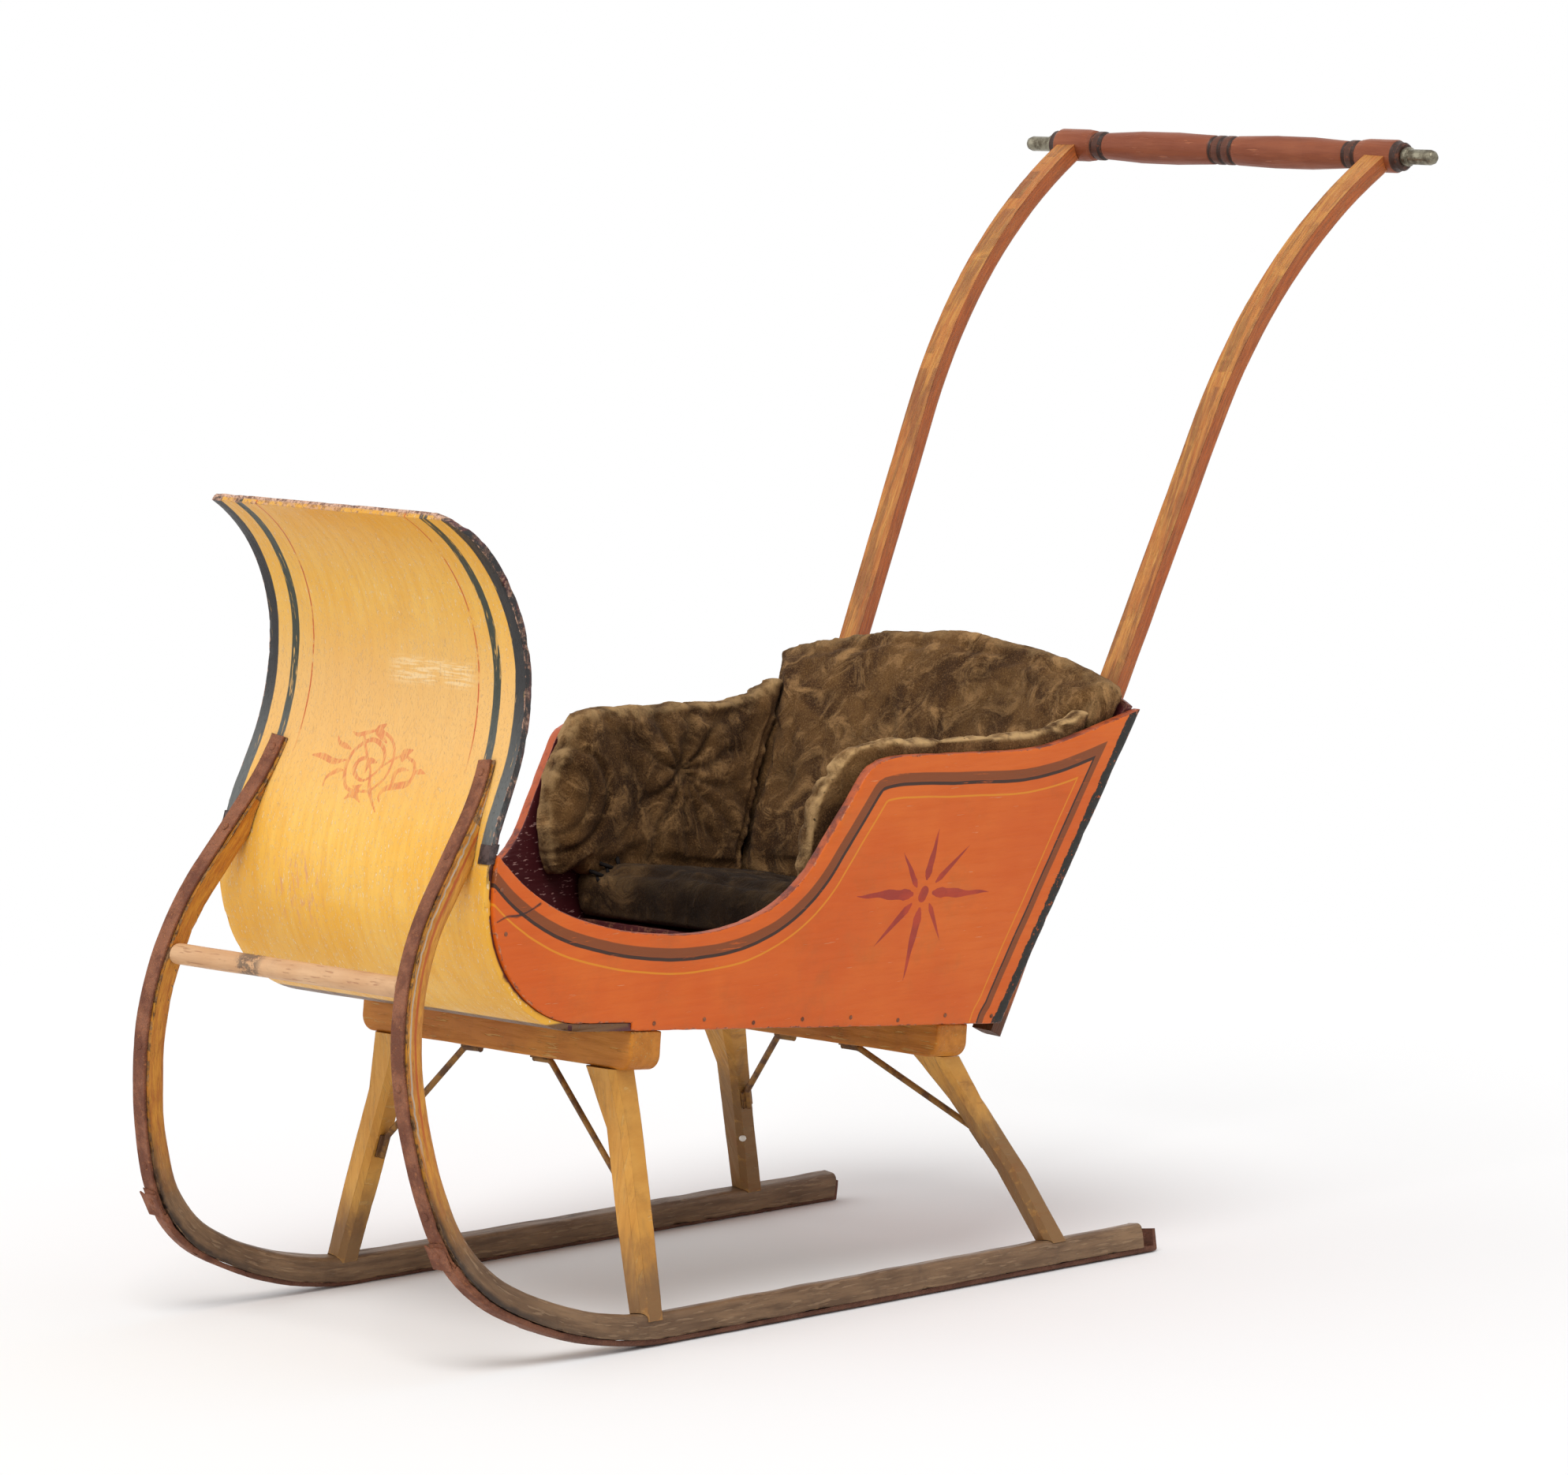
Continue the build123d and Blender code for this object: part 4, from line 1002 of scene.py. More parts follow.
metalLooks = {
    "rod": {"pale": srgb(146, 104, 50), "deep": srgb(96, 66, 42)},
    "nickel": {"pale": srgb(140, 134, 116), "deep": srgb(92, 84, 70), "spot": srgb(78, 66, 54)},
    "clip": {"pale": srgb(92, 78, 76), "deep": srgb(58, 50, 50)},
}


def rustMaterial(name):
    mat, tree = startMaterial(name)
    look = ironLook
    plain = objectCoords(tree)
    cloud = patches(tree, plain, 34.0, 0.38, 0.62, 6.0, 0.7)
    colour = mixed(tree, cloud, look["rust"], look["rustDeep"])
    spots = patches(tree, plain, 170.0, 0.56, 0.68, 5.0, 0.75)
    colour = mixed(tree, times(tree, spots, 0.7), colour, look["bright"])
    pits = patches(tree, plain, 520.0, 0.35, 0.65, 3.0, 0.7)
    colour = mixed(tree, times(tree, pits, 0.35), colour, look["scale"])
    # browner and duller along the ground
    low = rise(tree, axisValue(tree, 2), 0.0, 0.09, 0.6, 0.0)
    colour = mixed(tree, low, colour, look["ground"])
    height = sums(tree, "ADD", pits, spots)
    shade(tree, colour, rise(tree, cloud, 0.0, 1.0, 0.55, 0.78), height, 0.0005, metal=0.25)
    return mat


def rodMaterial():
    # the braces keep some ochre paint over their rust
    mat, tree = startMaterial("paintedRod")
    look = metalLooks["rod"]
    cloud = patches(tree, objectCoords(tree), 60.0, 0.42, 0.6, 5.0, 0.7)
    shade(tree, mixed(tree, cloud, look["pale"], look["deep"]), 0.55, cloud, 0.0002, metal=0.1)
    return mat


def nickelMaterial():
    mat, tree = startMaterial("tarnishedNickel")
    look = metalLooks["nickel"]
    plain = objectCoords(tree)
    cloud = patches(tree, plain, 90.0, 0.4, 0.65, 5.0, 0.7)
    spots = patches(tree, plain, 420.0, 0.6, 0.7, 3.0)
    colour = mixed(tree, cloud, look["pale"], look["deep"])
    colour = mixed(tree, times(tree, spots, 0.5), colour, look["spot"])
    shade(tree, colour, rise(tree, cloud, 0.0, 1.0, 0.28, 0.5), cloud, 0.0001, metal=0.9)
    return mat


def clipMaterial():
    mat, tree = startMaterial("clipMetal")
    look = metalLooks["clip"]
    cloud = patches(tree, objectCoords(tree), 160.0, 0.4, 0.62, 5.0, 0.7)
    shade(tree, mixed(tree, cloud, look["pale"], look["deep"]), 0.5, cloud, 0.0003, metal=0.5)
    return mat


# Fur pads

# the last column of each pad is painted shade laid over its whole pile, strongest on the seat pad
padLooks = {
    "seat_cushion": {"insetMm": 2.0, "capMm": 11.0, "pressure": 4.0, "hidden": (0.0, 0.0, -1.0),
                     "fill": 0.7, "rubbed": 0.25, "dim": 0.84},
    "back_cushion": {"insetMm": 2.0, "capMm": 10.0, "pressure": 4.0, "hidden": (-0.9, 0.0, -0.44),
                     "fill": 0.7, "rubbed": 0.3, "dim": 0.0},
    "side_cushion_left": {"insetMm": 2.0, "capMm": 8.0, "pressure": 4.0, "hidden": (0.0, 1.0, 0.0),
                          "fill": 0.7, "rubbed": 1.2, "dim": 0.0},
    "side_cushion_right": {"insetMm": 2.0, "capMm": 8.0, "pressure": 4.0, "hidden": (0.0, -1.0, 0.0),
                           "fill": 0.7, "rubbed": 0.75, "dim": 0.08},
}

blowLook = {"round": 0.006, "cell": 0.005, "quality": 5, "steps": 20, "quickSwell": 0.006}

furLook = {
    "dark": srgb(70, 45, 24), "mid": srgb(118, 84, 48), "light": srgb(186, 142, 92),
    "tan": srgb(214, 174, 120), "deep": srgb(24, 15, 8),
    # a pale fuzzy tuft on the seat pad's far front corner, kept out of the painted shade
    "paleTuft": (0.098, -0.128, 0.338),
}


def furMaterial():
    mat, tree = startMaterial("furPile")
    look = furLook
    plain = objectCoords(tree)
    broad = rise(tree, grainNoise(tree, plain, 13.0, 4.0, 0.6, 0.8), 0.38, 0.62)
    colour = mixed(tree, broad, look["dark"], look["mid"])
    # painted highlight on sweeps of pile, as if they lean towards the light, strongest on the ridges between
    # folds
    sweep = rise(tree, grainNoise(tree, plain, 30.0, 6.0, 0.72, 1.2), 0.46, 0.66)
    ridge = layerValue(tree, "ridge")
    lifted = times(tree, sweep, sums(tree, "ADD", times(tree, ridge, 0.55), 0.4))
    colour = mixed(tree, lifted, colour, look["light"])
    nap = grainNoise(tree, plain, 700.0, 3.0, 0.8)
    colour = mixed(tree, rise(tree, nap, 0.5, 0.72, 0.0, 0.45), colour, look["light"])
    colour = mixed(tree, rise(tree, nap, 0.28, 0.5, 0.55, 0.0), colour, look["deep"])
    ragged = patches(tree, plain, 60.0, 0.3, 0.7, start=6.0, end=-6.0)
    edge = sums(tree, "ADD", layerValue(tree, "edgeMm"), ragged)
    rubbed = times(tree, rise(tree, edge, 1.0, 15.0, 1.0, 0.0), layerValue(tree, "rubbed"))
    colour = mixed(tree, times(tree, rubbed, 0.8), colour, look["tan"])
    holes = patches(tree, plain, 150.0, 0.70, 0.74, 2.0, 0.5)
    colour = mixed(tree, times(tree, holes, rubbed), colour, look["deep"])
    # painted shade in the pile's folds and hollows
    colour = mixed(tree, times(tree, layerValue(tree, "creaseShade"), 0.85), colour, look["deep"])
    # painted shade over the pile
    colour = mixed(tree, layerValue(tree, "dim"), colour, look["deep"])
    height = sums(tree, "ADD", nap, times(tree, sweep, 0.8))
    shade(tree, colour, 0.95, height, 0.0014, sheen=0.04, shine=0.06)
    return mat


def blownPad(node):
    # the CAD pad, drawn in a little, remeshed and blown up as cloth, its hidden side held flat
    look = padLooks[node]
    bm = mergedCopy(node)
    edgeTree = pointTree(alongEdges(sharpEdges(bm, 30.0), 0.003))
    bm.normal_update()
    inset = look["insetMm"] * millimetre
    bmesh.ops.bevel(
        bm, geom=sharpEdges(bm, 30.0), offset=blowLook["round"], offset_type="OFFSET", segments=2,
        profile=0.5, affect="EDGES", clamp_overlap=True, material=-1,
    )
    bm.normal_update()
    for vert in bm.verts:
        vert.co -= vert.normal * inset
    pad = makeObject(camel(node), bm)
    remesh = pad.modifiers.new("evenCells", "REMESH")
    remesh.mode = "VOXEL"
    remesh.voxel_size = blowLook["cell"]
    applyModifiers(pad)
    rest = np.array([v.co[:] for v in pad.data.vertices])
    normals = np.array([v.normal[:] for v in pad.data.vertices])
    cloth = pad.modifiers.new("blow", "CLOTH")
    cloth.settings.use_pressure = True
    cloth.settings.uniform_pressure_force = look["pressure"]
    cloth.settings.effector_weights.gravity = 0.0
    cloth.settings.quality = blowLook["quality"]
    scene.frame_set(1)
    for step in range(1, blowLook["steps"] + 1):
        scene.frame_set(step)
    grown = pad.evaluated_get(bpy.context.evaluated_depsgraph_get()).data
    after = np.array([v.co[:] for v in grown.vertices])
    pad.modifiers.clear()
    scene.frame_set(1)
    move = after - rest
    inwardMove = np.minimum(np.sum(move * normals, axis=1), 0.0)
    move -= normals * inwardMove[:, None]
    length = np.maximum(np.linalg.norm(move, axis=1), 1e-9)
    cap = look["capMm"] * millimetre
    hidden = Vector(look["hidden"]).normalized()
    towards = normals @ np.array(hidden[:])
    allowed = np.where(towards > 0.3, inset * 0.9, cap)
    move *= np.minimum(1.0, allowed / length)[:, None]
    for vert, place in zip(pad.data.vertices, rest + move):
        vert.co = place
    finer = pad.modifiers.new("finer", "SUBSURF")
    finer.levels = finer.render_levels = 1
    applyModifiers(pad)
    return pad, edgeTree, hidden


def applyModifiers(piece):
    graph = bpy.context.evaluated_depsgraph_get()
    fresh = bpy.data.meshes.new_from_object(piece.evaluated_get(graph))
    piece.modifiers.clear()
    piece.data = fresh
    for face in fresh.polygons:
        face.use_smooth = True


# tufts pressed into the pads; columns: centre, radius of the dimple, reach of its folds, depth in
# millimetres, folds
padTufts = {
    "side_cushion_right": [((-0.035, -0.163, 0.419), 0.011, 0.115, 7.0, 11)],
    "side_cushion_left": [((-0.035, 0.163, 0.419), 0.011, 0.115, 7.0, 11)],
    "seat_cushion": [((-0.02, 0.0, 0.330), 0.013, 0.11, 8.0, 9)],
    "back_cushion": [((-0.115, 0.0, 0.44), 0.012, 0.10, 4.0, 8)],
}

# rolls pressed into the front of a side pad; columns: centre forward and up, radius, depth in millimetres
padRolls = {
    "side_cushion_right": [((0.112, 0.411), 0.030, 2.0), ((0.112, 0.411), 0.050, 3.5)],
    "side_cushion_left": [((0.112, 0.411), 0.030, 2.0), ((0.112, 0.411), 0.050, 3.5)],
}

# how the pads have settled, in millimetres: the round of a side pad's lower front corner, the gap that
# has opened behind its foot, how far its front lobe stands in over the seat and droops forward, and the
# seat pad's crown
padSag = {
    "side_cushion_right": {"cornerMm": 84.0, "heelMm": 20.0, "lobeMm": 4.0, "noseMm": 15.0, "crownMm": 0.0},
    "side_cushion_left": {"cornerMm": 66.0, "heelMm": 20.0, "lobeMm": 18.0, "noseMm": 0.0, "crownMm": 0.0},
    "seat_cushion": {"cornerMm": 0.0, "heelMm": 0.0, "lobeMm": 0.0, "crownMm": 10.0},
    "back_cushion": {"cornerMm": 0.0, "heelMm": 0.0, "lobeMm": 0.0, "crownMm": 0.0},
}


def smooth(value, low, high):
    share = min(max((value - low) / (high - low), 0.0), 1.0)
    return share * share * (3 - 2 * share)


def sagged(place, low, high, sag, inward):
    # where a point of a pad lies once the pad has settled
    x, y, z = place
    corner = sag["cornerMm"] * millimetre
    if corner:
        droop = sag["noseMm"] * millimetre
        nose = droop * smooth(x, high.x - 0.07, high.x) * (1.0 - smooth(z, low.z + 0.04, high.z))
        x, z = x + nose, z - 0.8 * nose
        cx, cz = high.x + droop - corner, low.z - 0.8 * droop + corner
        if x > cx and z < cz:
            reach = max(x - cx, cz - z)
            away = math.hypot(x - cx, z - cz)
            if away > 0:
                x, z = cx + (x - cx) * reach / away, cz + (z - cz) * reach / away
        heel = sag["heelMm"] * millimetre
        x += heel * (1.0 - smooth(x, low.x, low.x + 0.11)) * (1.0 - smooth(z, low.z, high.z - 0.02))
        lobe = sag["lobeMm"] * millimetre
        y += inward * lobe * smooth(x, high.x - 0.10, high.x - 0.02) * smooth(z, low.z, low.z + 0.06)
    crown = sag["crownMm"] * millimetre
    if crown:
        share = smooth(z, low.z + 0.008, high.z)
        z += crown * share * smooth(x, low.x, high.x - 0.03) * (1.0 - 0.35 * abs(y) / high.y)
    return Vector((x, y, z))


def tuftFold(place, hidden, tuft):
    # how deep a tuft pulls this point in, and how much it lies in a fold or on a ridge, for the painted shade
    # and highlight
    centre, dimple, reach, depth, count = tuft
    away = place - Vector(centre)
    away -= hidden * away.dot(hidden)
    radius = away.length
    if radius > reach * 1.5:
        return 0.0, 0.0, 0.3
    side = hidden.orthogonal().normalized()
    angle = math.atan2(away.dot(hidden.cross(side)), away.dot(side))
    wander = 1.6 * noise.noise(Vector((cos(angle) * 1.4, sin(angle) * 1.4, radius * 22.0)))
    wave = abs(sin(angle * count / 2 + wander + 2.0 * sin(angle)))
    fade = math.exp(-((radius / reach) ** 2) * 1.3) * min(1.0, radius / dimple)
    fade *= 0.55 + 0.9 * abs(noise.noise(Vector((angle * 1.3, 3.0, 1.0))))
    press = math.exp(-(radius / dimple) ** 2)
    fold = fade * (1.0 - wave) ** 1.3
    return depth * millimetre * (press + 0.8 * fold), min(1.0, fold * 0.9 + press * 0.7), fade * wave


def sewPad(pad, node, edgeTree, hidden):
    bm = bmesh.new()
    bm.from_mesh(pad.data)
    low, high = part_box(node)
    sag = padSag[node]
    inward = -1.0 if (low.y + high.y) > 0.02 else 1.0
    names = ("edgeMm", "creaseShade", "ridge", "rubbed", "dim")
    layers = {name: bm.verts.layers.float.new(name) for name in names}
    for vert in bm.verts:
        vert[layers["edgeMm"]] = min(edgeTree.find(vert.co)[2] / millimetre, 40.0)
    for vert in bm.verts:
        turned = vert.normal.dot(hidden)
        exposed = max(smooth(vert.normal.z, 0.0, 0.6), 0.8 * smooth(vert.normal.x, 0.3, 0.9))
        vert[layers["rubbed"]] = exposed * padLooks[node]["rubbed"]
        # painted shade over the pad, kept off the pale tuft and lighter towards the front right corner
        tuftAway = (vert.co - Vector(furLook["paleTuft"])).length
        dim = padLooks[node]["dim"] * smooth(tuftAway, 0.008, 0.024)
        corner = smooth(vert.co.x, 0.04, 0.09) * smooth(-vert.co.y, 0.06, 0.12)
        vert[layers["dim"]] = dim * (1.0 - 0.35 * corner)
        if turned < 0.4:
            small, large = noise.noise(vert.co * 60.0), noise.noise(vert.co * 19.0)
            push = 0.0006 * noise.noise(vert.co * 190.0) + 0.0013 * small + 0.0032 * large
            # painted shade in hollows and folds, painted highlight on swells
            creaseShade = 0.55 * max(0.0, -large - 0.08) + 0.5 * max(0.0, -small - 0.1)
            ridge = 0.3 + 0.9 * max(0.0, large) + 0.6 * max(0.0, small)
            for tuft in padTufts[node]:
                pull, fold, top = tuftFold(vert.co, hidden, tuft)
                push -= pull
                creaseShade, ridge = max(creaseShade, fold), max(ridge, top)
            for (cx, cz), radius, depth in padRolls.get(node, []):
                away = math.hypot(vert.co.x - cx, (vert.co.z - cz) * 1.15)
                facing = smooth(cx - vert.co.x + 0.02, -0.01, 0.03)
                # painted shade in the roll's groove, painted highlight just past it
                groove = math.exp(-((away - radius) / 0.0035) ** 2) * facing
                push -= depth * millimetre * groove
                ridge = max(ridge, facing * math.exp(-((away - radius - 0.007) / 0.006) ** 2))
                creaseShade = max(creaseShade, groove * 0.35)
            vert[layers["creaseShade"]] = creaseShade
            vert[layers["ridge"]] = ridge
            vert.co += vert.normal * push
        vert.co = sagged(vert.co, low, high, sag, inward)
    bm.to_mesh(pad.data)
    bm.free()


def makePad(node, mat):
    pad, edgeTree, hidden = blownPad(node)
    sewPad(pad, node, edgeTree, hidden)
    for face in pad.data.polygons:
        face.use_smooth = True
    pad.data.materials.clear()
    settle(pad, [node], "fur", mat)
    return pad


# Nails and screws

def addHead(bm, place, normal, radius, height):
    # a domed head seated on a surface
    turn = Vector((0, 0, 1)).rotation_difference(normal).to_matrix().to_4x4()
    made = bmesh.ops.create_uvsphere(bm, u_segments=10, v_segments=6, radius=1.0)
    bmesh.ops.transform(bm, verts=made["verts"], matrix=Matrix.Translation(place) @ turn @ Matrix.Diagonal(
        (radius, radius, height, 1.0)))


def castOn(tree, origin, direction):
    return tree.ray_cast(Vector(origin), Vector(direction).normalized())[:2]


def headOn(bm, tree, origin, direction, sizeMm):
    # a head where the ray meets the surface
    place, normal = castOn(tree, origin, direction)
    if place:
        addHead(bm, place, normal, *(v * millimetre for v in sizeMm))


def addPlate(bm, place, normal, upward, outline, thickness):
    # a thin plate with its own outline in millimetres, across and upward, laid on a surface
    sunk = 0.0004
    upward = (upward - normal * upward.dot(normal)).normalized()
    across = upward.cross(normal)
    verts = [bm.verts.new(place + (across * u + upward * v) * millimetre - normal * sunk) for u, v in outline]
    face = bm.faces.new(verts)
    face.normal_update()
    if face.normal.dot(normal) > 0:
        face.normal_flip()
    raised = bmesh.ops.extrude_face_region(bm, geom=[face])
    moved = [item for item in raised["geom"] if isinstance(item, bmesh.types.BMVert)]
    bmesh.ops.translate(bm, verts=moved, vec=normal * (thickness + sunk))


def addRod(bm, start, end, radius):
    # a short round rod with closed ends
    length = (end - start).length
    turn = Vector((0, 0, 1)).rotation_difference(end - start).to_matrix().to_4x4()
    bmesh.ops.create_cone(
        bm, cap_ends=True, segments=8, radius1=radius, radius2=radius, depth=length,
        matrix=Matrix.Translation((start + end) / 2) @ turn,
    )


# the shoe's lap: a ragged plate over the strap's end, across and up in millimetres; its thickness and its
# screw's radius and height in metres
lapLook = {
    "outline": [(-10.3, -20.0), (10.3, -20.0), (9.8, -3.0), (10.6, 2.0), (7.0, 0.5), (1.0, 2.0), (-6.0, 0.0),
                (-10.8, 2.5), (-10.3, -3.0)],
    "thickness": 0.0012, "screwUpMm": -6.0, "screw": (0.0034, 0.0012),
}

# how far out the straps' middle lies at the ground, in metres, and how far they lean in, in degrees
strapLine = {"out": 0.1925, "lean": 7.5}


def strapMiddle(z):
    return strapLine["out"] - z * math.tan(radians(strapLine["lean"]))


def makeLaps(mat):
    look = lapLook
    bm = bmesh.new()
    for side, sign in (("left", 1.0), ("right", -1.0)):
        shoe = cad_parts[f"shoe_{side}"].data
        top = max((v.co for v in shoe.vertices if v.co.x > 0.3), key=lambda p: p.z)
        z = top.z - 0.006
        place, normal = castOn(surfaceOf(shoe), (1.0, sign * strapMiddle(z), z), (-1, 0, 0))
        if place:
            addPlate(bm, place, normal, Vector((0, 0, 1)), look["outline"], look["thickness"])
            upward = (Vector((0, 0, 1)) - normal * normal.z).normalized()
            head = place + normal * look["thickness"] + upward * look["screwUpMm"] * millimetre
            addHead(bm, head, normal, *look["screw"])
    piece = makeObject("shoeLaps", bm)
    for face in piece.data.polygons:
        face.use_smooth = face.area < 4e-6        # only the screws' small faces
    return settle(piece, [], "iron", mat)


# black wool that laces the far side pad to the seat pad, in millimetres; columns of the stitches: how far
# forward each enters the seat pad, and how much further forward it leaves the side pad
lacingLook = {
    "stitches": [
        (96.0, -9.0), (91.0, 7.0), (86.0, -8.0), (81.0, 6.0), (75.0, -9.0), (69.0, 7.0), (62.0, -8.0),
    ],
    "acrossMm": -139.0, "upMm": 4.0, "radiusMm": 1.7, "wool": srgb(20, 18, 18), "woolPale": srgb(44, 38, 36),
}


def makeLacing(pads):
    look = lacingLook
    mat, tree = startMaterial("lacingWool")
    nap = grainNoise(tree, objectCoords(tree), 600.0, 3.0)
    shade(tree, mixed(tree, nap, look["wool"], look["woolPale"]), 0.95, nap, 0.0005, shine=0.1)
    seat, beside = (surfaceOf(pads[node].data) for node in ("seat_cushion", "side_cushion_right"))
    bm = bmesh.new()
    for forward, lean in look["stitches"]:
        x, y = forward * millimetre, look["acrossMm"] * millimetre
        start = castOn(seat, (x, y, 1.0), (0, 0, -1))[0]
        if start:
            up = start.z + look["upMm"] * millimetre
            end = castOn(beside, (x + lean * millimetre, 0.0, up), (0, -1, 0))[0]
            if end:
                addRod(bm, start, end, look["radiusMm"] * millimetre)
    return settle(makeObject("padLacing", bm), [], "fur", mat)


beadLook = {"colour": srgb(232, 228, 218), "at": (-0.122, -0.170, 0.0758), "size": (0.0034, 0.0022),
            "spareAt": (-0.105, -0.17, 0.08)}


def makeBead():
    # a white bead or blob of paint on the far rear leg, where the camera's line through it meets the leg
    look = beadLook
    mat, tree = startMaterial("beadWhite")
    shade(tree, look["colour"], 0.4)
    towards = towardsCamera()
    leg = surfaceOf(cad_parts["leg_rear_right"].data)
    place, normal = castOn(leg, Vector(look["at"]) + towards, -towards)
    if place is None:
        place, normal = Vector(look["spareAt"]), towards
    bm = bmesh.new()
    addHead(bm, place, normal, *look["size"])
    return settle(makeObject("legBead", bm), [], "leg_paint", mat)


# radius and height of the heads in millimetres; the rest in metres, forward and up, and one slope in degrees
fastenerLook = {
    "nailMm": (2.0, 0.6), "screwMm": (3.6, 0.9), "screwHeights": (0.484, 0.42, 0.24, 0.135),
    "frontNails": [(0.4827, 0.3554), (0.487, 0.392), (0.478, 0.318), (0.462, 0.290)],
    # the row along a side's lower edge: how many, first and step, the sloping line, and how far they stray
    "rowCount": 9, "rowFrom": -0.090, "rowStep": 0.058, "rowThrough": (-0.1033, 0.2255), "rowSlope": 5.36,
    "rowStray": 0.002,
}


def makeFasteners(mat):
    look = fastenerLook
    nails, screws = bmesh.new(), bmesh.new()
    lineX, lineZ = look["rowThrough"]
    row = []
    for i in range(look["rowCount"]):
        x = look["rowFrom"] + i * look["rowStep"]
        z = lineZ + (x - lineX) * math.tan(radians(look["rowSlope"])) + look["rowStray"] * sin(i * 2.3)
        row.append((x, z))
    for side, sign in (("left", 1.0), ("right", -1.0)):
        panel = surfaceOf(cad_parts[f"side_panel_{side}"].data)
        for x, z in row + look["frontNails"]:
            headOn(nails, panel, (x, sign, z), (0, -sign, 0), look["nailMm"])
        strap = surfaceOf(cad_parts[f"strap_{side}"].data)
        for z in look["screwHeights"]:
            headOn(screws, strap, (1.0, sign * strapMiddle(z), z), (-1, 0, 0), look["screwMm"])
    for name, bm in (("nailHeads", nails), ("screwHeads", screws)):
        settle(makeObject(name, bm), [], "iron", mat)


# Stage, light and camera

stageLook = {"size": 30.0, "floor": (0.93, 0.93, 0.93, 1.0), "whiteFrom": 0.9, "whiteTo": 2.2}


def makeStage():
    bm = bmesh.new()
    bmesh.ops.create_grid(bm, x_segments=1, y_segments=1, size=stageLook["size"])
    floor = makeObject("paleFloor", bm)
    mat, tree = startMaterial("paleFloor")
    diffuse = put(tree, "ShaderNodeBsdfDiffuse", {"Color": stageLook["floor"]})
    glow = put(tree, "ShaderNodeEmission", {"Color": (1, 1, 1, 1), "Strength": 1.0})
    flat = objectCoords(tree, (1, 1, 0))
    away = put(tree, "ShaderNodeVectorMath", {0: flat}, operation="LENGTH").outputs["Value"]
    far = rise(tree, away, stageLook["whiteFrom"], stageLook["whiteTo"])
    path = put(tree, "ShaderNodeLightPath")
    seen = sums(tree, "MAXIMUM", path.outputs["Is Camera Ray"], path.outputs["Is Glossy Ray"])
    both = put(tree, "ShaderNodeMixShader", {
        0: times(tree, far, seen), 1: diffuse.outputs[0], 2: glow.outputs[0],
    })
    put(tree, "ShaderNodeOutputMaterial", {"Surface": both.outputs[0]})
    floor.data.materials.append(mat)


lampLook = {
    # columns: name, direction the light comes from, strength, softness in degrees
    "suns": [("keySun", (0.55, 0.35, 1.0), 1.45, 30.0), ("fillSun", (0.9, -0.55, 0.45), 0.55, 60.0)],
    "world": 0.64,
}


def makeLight():
    world = bpy.data.worlds.new("studio")
    scene.world = world
    world.use_nodes = True
    tree = world.node_tree
    tree.nodes.clear()
    path = put(tree, "ShaderNodeLightPath")
    seen = sums(tree, "MAXIMUM", path.outputs["Is Camera Ray"], path.outputs["Is Glossy Ray"])
    seen = sums(tree, "MAXIMUM", seen, path.outputs["Is Transmission Ray"])
    strength = sums(tree, "ADD", times(tree, seen, 1.0 - lampLook["world"]), lampLook["world"])
    glow = put(tree, "ShaderNodeBackground", {"Color": (1, 1, 1, 1), "Strength": strength})
    put(tree, "ShaderNodeOutputWorld", {"Surface": glow.outputs[0]})
    for name, direction, strength, softness in lampLook["suns"]:
        lamp = bpy.data.lights.new(name, "SUN")
        lamp.energy = strength
        lamp.angle = radians(softness)
        holder = bpy.data.objects.new(name, lamp)
        holder.rotation_euler = Vector(direction).to_track_quat("Z", "Y").to_euler()
        scene.collection.objects.link(holder)


cameraLook = {
    "azimuth": 135.0, "elevation": 6.55, "distance": 6.63, "target": (-0.0048, 0.0, 0.463), "lens": 174.7,
}


def towardsCamera():
    turn, rising = radians(cameraLook["azimuth"]), radians(cameraLook["elevation"])
    return Vector((sin(turn) * cos(rising), -cos(turn) * cos(rising), sin(rising)))


def makeCamera():
    back = towardsCamera()
    lens = bpy.data.cameras.new("photoCamera")
    lens.lens = cameraLook["lens"]
    lens.sensor_width = 36.0
    lens.clip_end = 200.0
    camera = bpy.data.objects.new("photoCamera", lens)
    camera.location = Vector(cameraLook["target"]) + back * cameraLook["distance"]
    camera.rotation_euler = back.to_track_quat("Z", "Y").to_euler()
    scene.collection.objects.link(camera)
    scene.camera = camera


# Build

scene.view_settings.view_transform = "Standard"
makeStage()
makeLight()
makeCamera()
print("stage, light and camera ready")

makeDash()
print("dash ready")
for side in ("left", "right"):
    makeSide(side)
print("side panels ready")

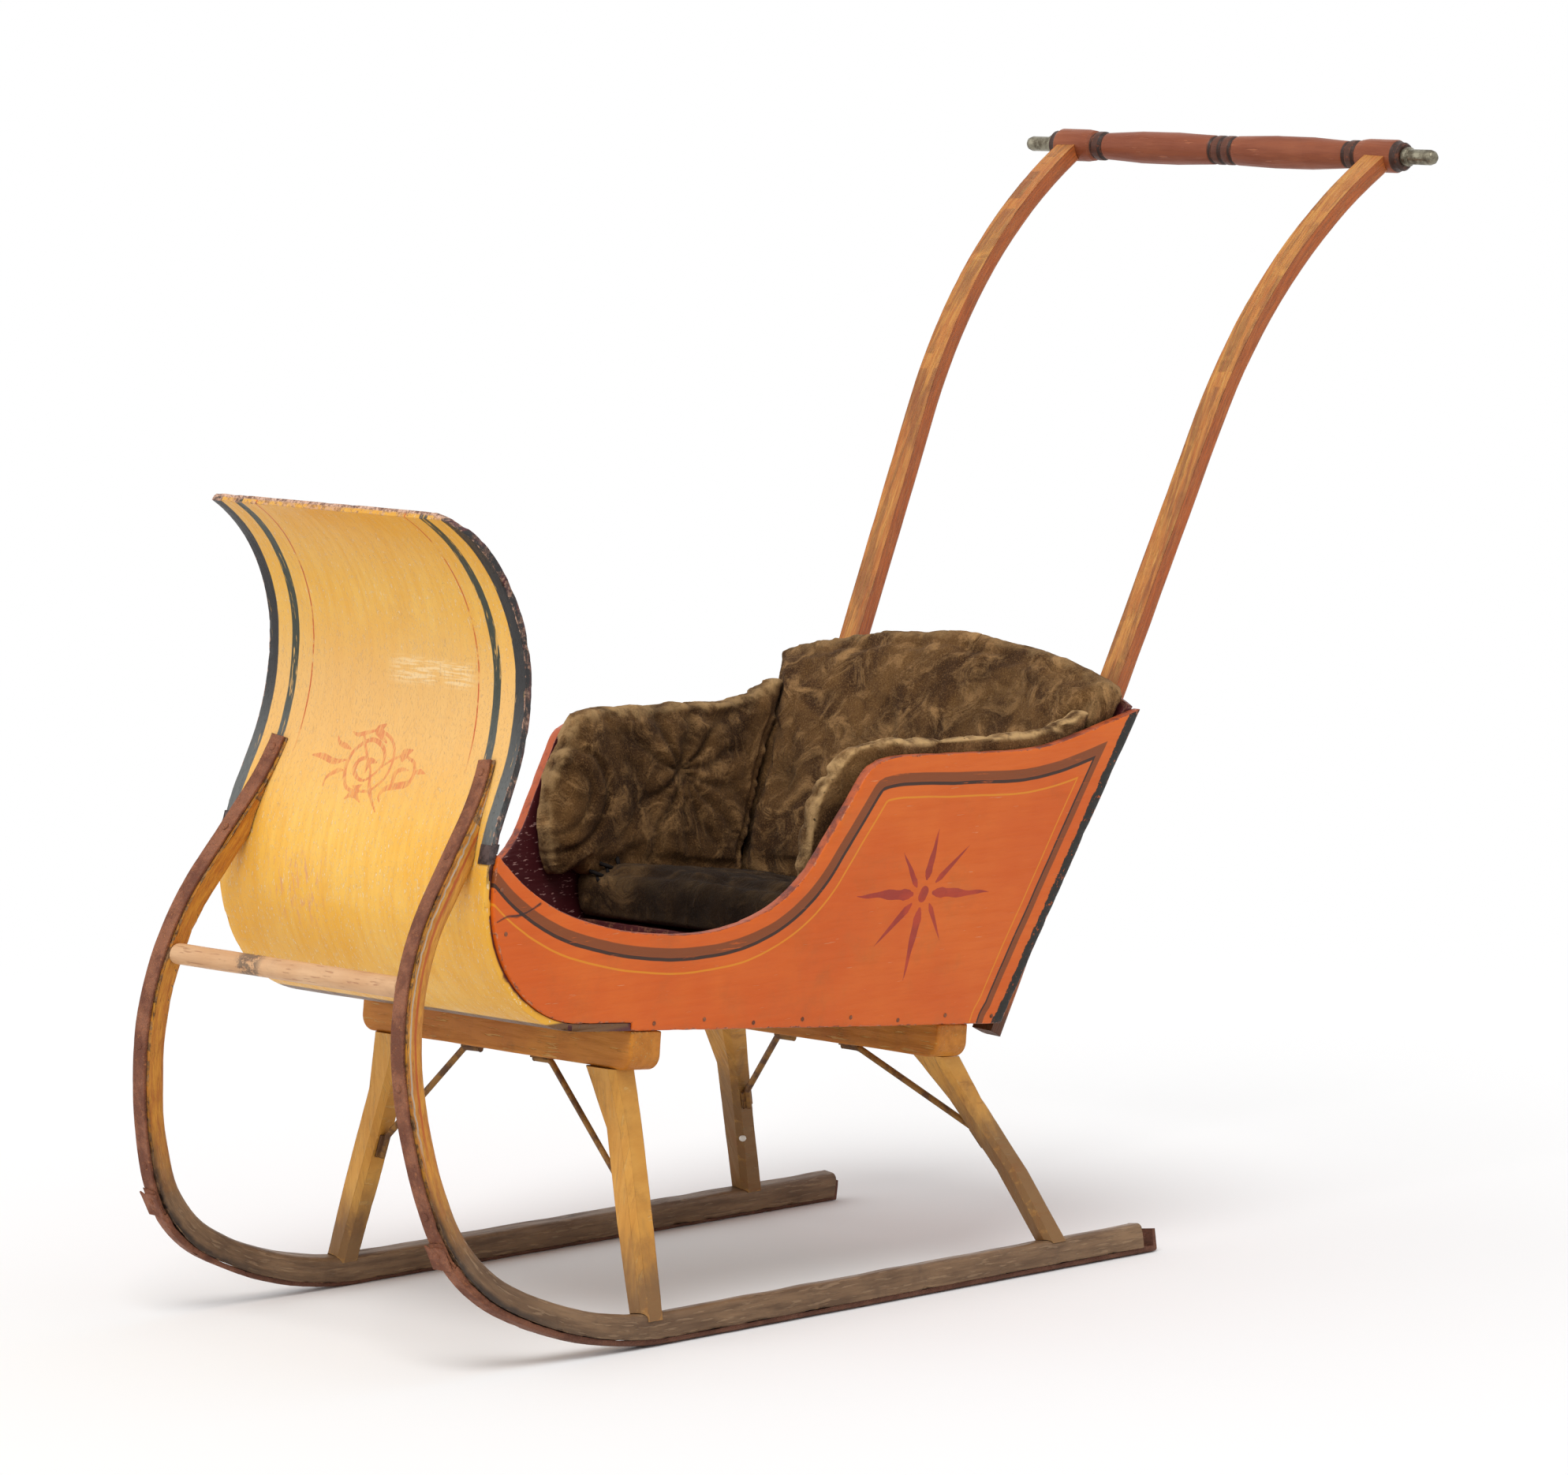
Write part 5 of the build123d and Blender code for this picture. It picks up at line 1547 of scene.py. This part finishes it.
maroon = boardLooks["maroon"]
finished = (("floor_board", "floorPaint", underFinish), ("back_panel", "backPaint", backFinish))
for node, paint, finish in finished:
    makeBoard(node, camel(node), maroon, "board_paint", boardMaterial(paint, maroon, finish))
seatPaint = boardMaterial("seatPaint", maroon)
for node in ("seat_board", "seat_riser"):
    makeBoard(node, camel(node), maroon, "board_paint", seatPaint)
bolsterPaint = boardMaterial("bolsterPaint", boardLooks["ochre"])
legPaint = boardMaterial("legPaint", boardLooks["leg"], legFinish)
for end in ("front", "rear"):
    makeBoard(f"{end}_bolster", f"{end}Bolster", boardLooks["ochre"], "bolster_paint", bolsterPaint)
    for side in ("left", "right"):
        node = f"leg_{end}_{side}"
        makeBoard(node, camel(node), boardLooks["leg"], "leg_paint", legPaint)
runnerPaint = boardMaterial("runnerPaint", boardLooks["runner"], runnerFinish)
armStain = boardMaterial("armStain", boardLooks["arm"], armFinish)
for side in ("left", "right"):
    makeRunner(side, runnerPaint)
    makeArm(side, armStain)
makeBoard("handle_bar", "handleBar", boardLooks["bar"], "bar_paint",
          boardMaterial("barPaint", boardLooks["bar"], barFinish))
makeBoard("front_dowel", "frontDowel", boardLooks["dowel"], "dowel_wood",
          boardMaterial("dowelWood", boardLooks["dowel"], dowelFinish))
print("boards, posts and rods ready")

rust = rustMaterial("rustedIron")
rodPaint = rodMaterial()
nickel = nickelMaterial()
clip = clipMaterial()
fineIron = dict(ironLook, cellsMm=(0.0, 0.0, 0.0))
for side in ("left", "right"):
    for node in (f"strap_{side}", f"shoe_{side}"):
        makeBoard(node, camel(node), ironLook, "iron", rust)
    for node in (f"brace_front_{side}", f"brace_rear_{side}"):
        makeBoard(node, camel(node), fineIron, "iron", rodPaint)
    makeBoard(f"bar_tip_{side}", camel(f"bar_tip_{side}"), fineIron, "tip_metal", nickel)
    node = f"dash_clip_{side}"
    makeBoard(node, camel(node), dict(fineIron, roundMm=0.2), "clip_metal", clip)
makeFasteners(rust)
makeLaps(rust)
makeBead()
print("iron ready")

fur = furMaterial()
pads = {}
for node in padLooks:
    pads[node] = makePad(node, fur)
    print("pad ready", node)
makeLacing(pads)
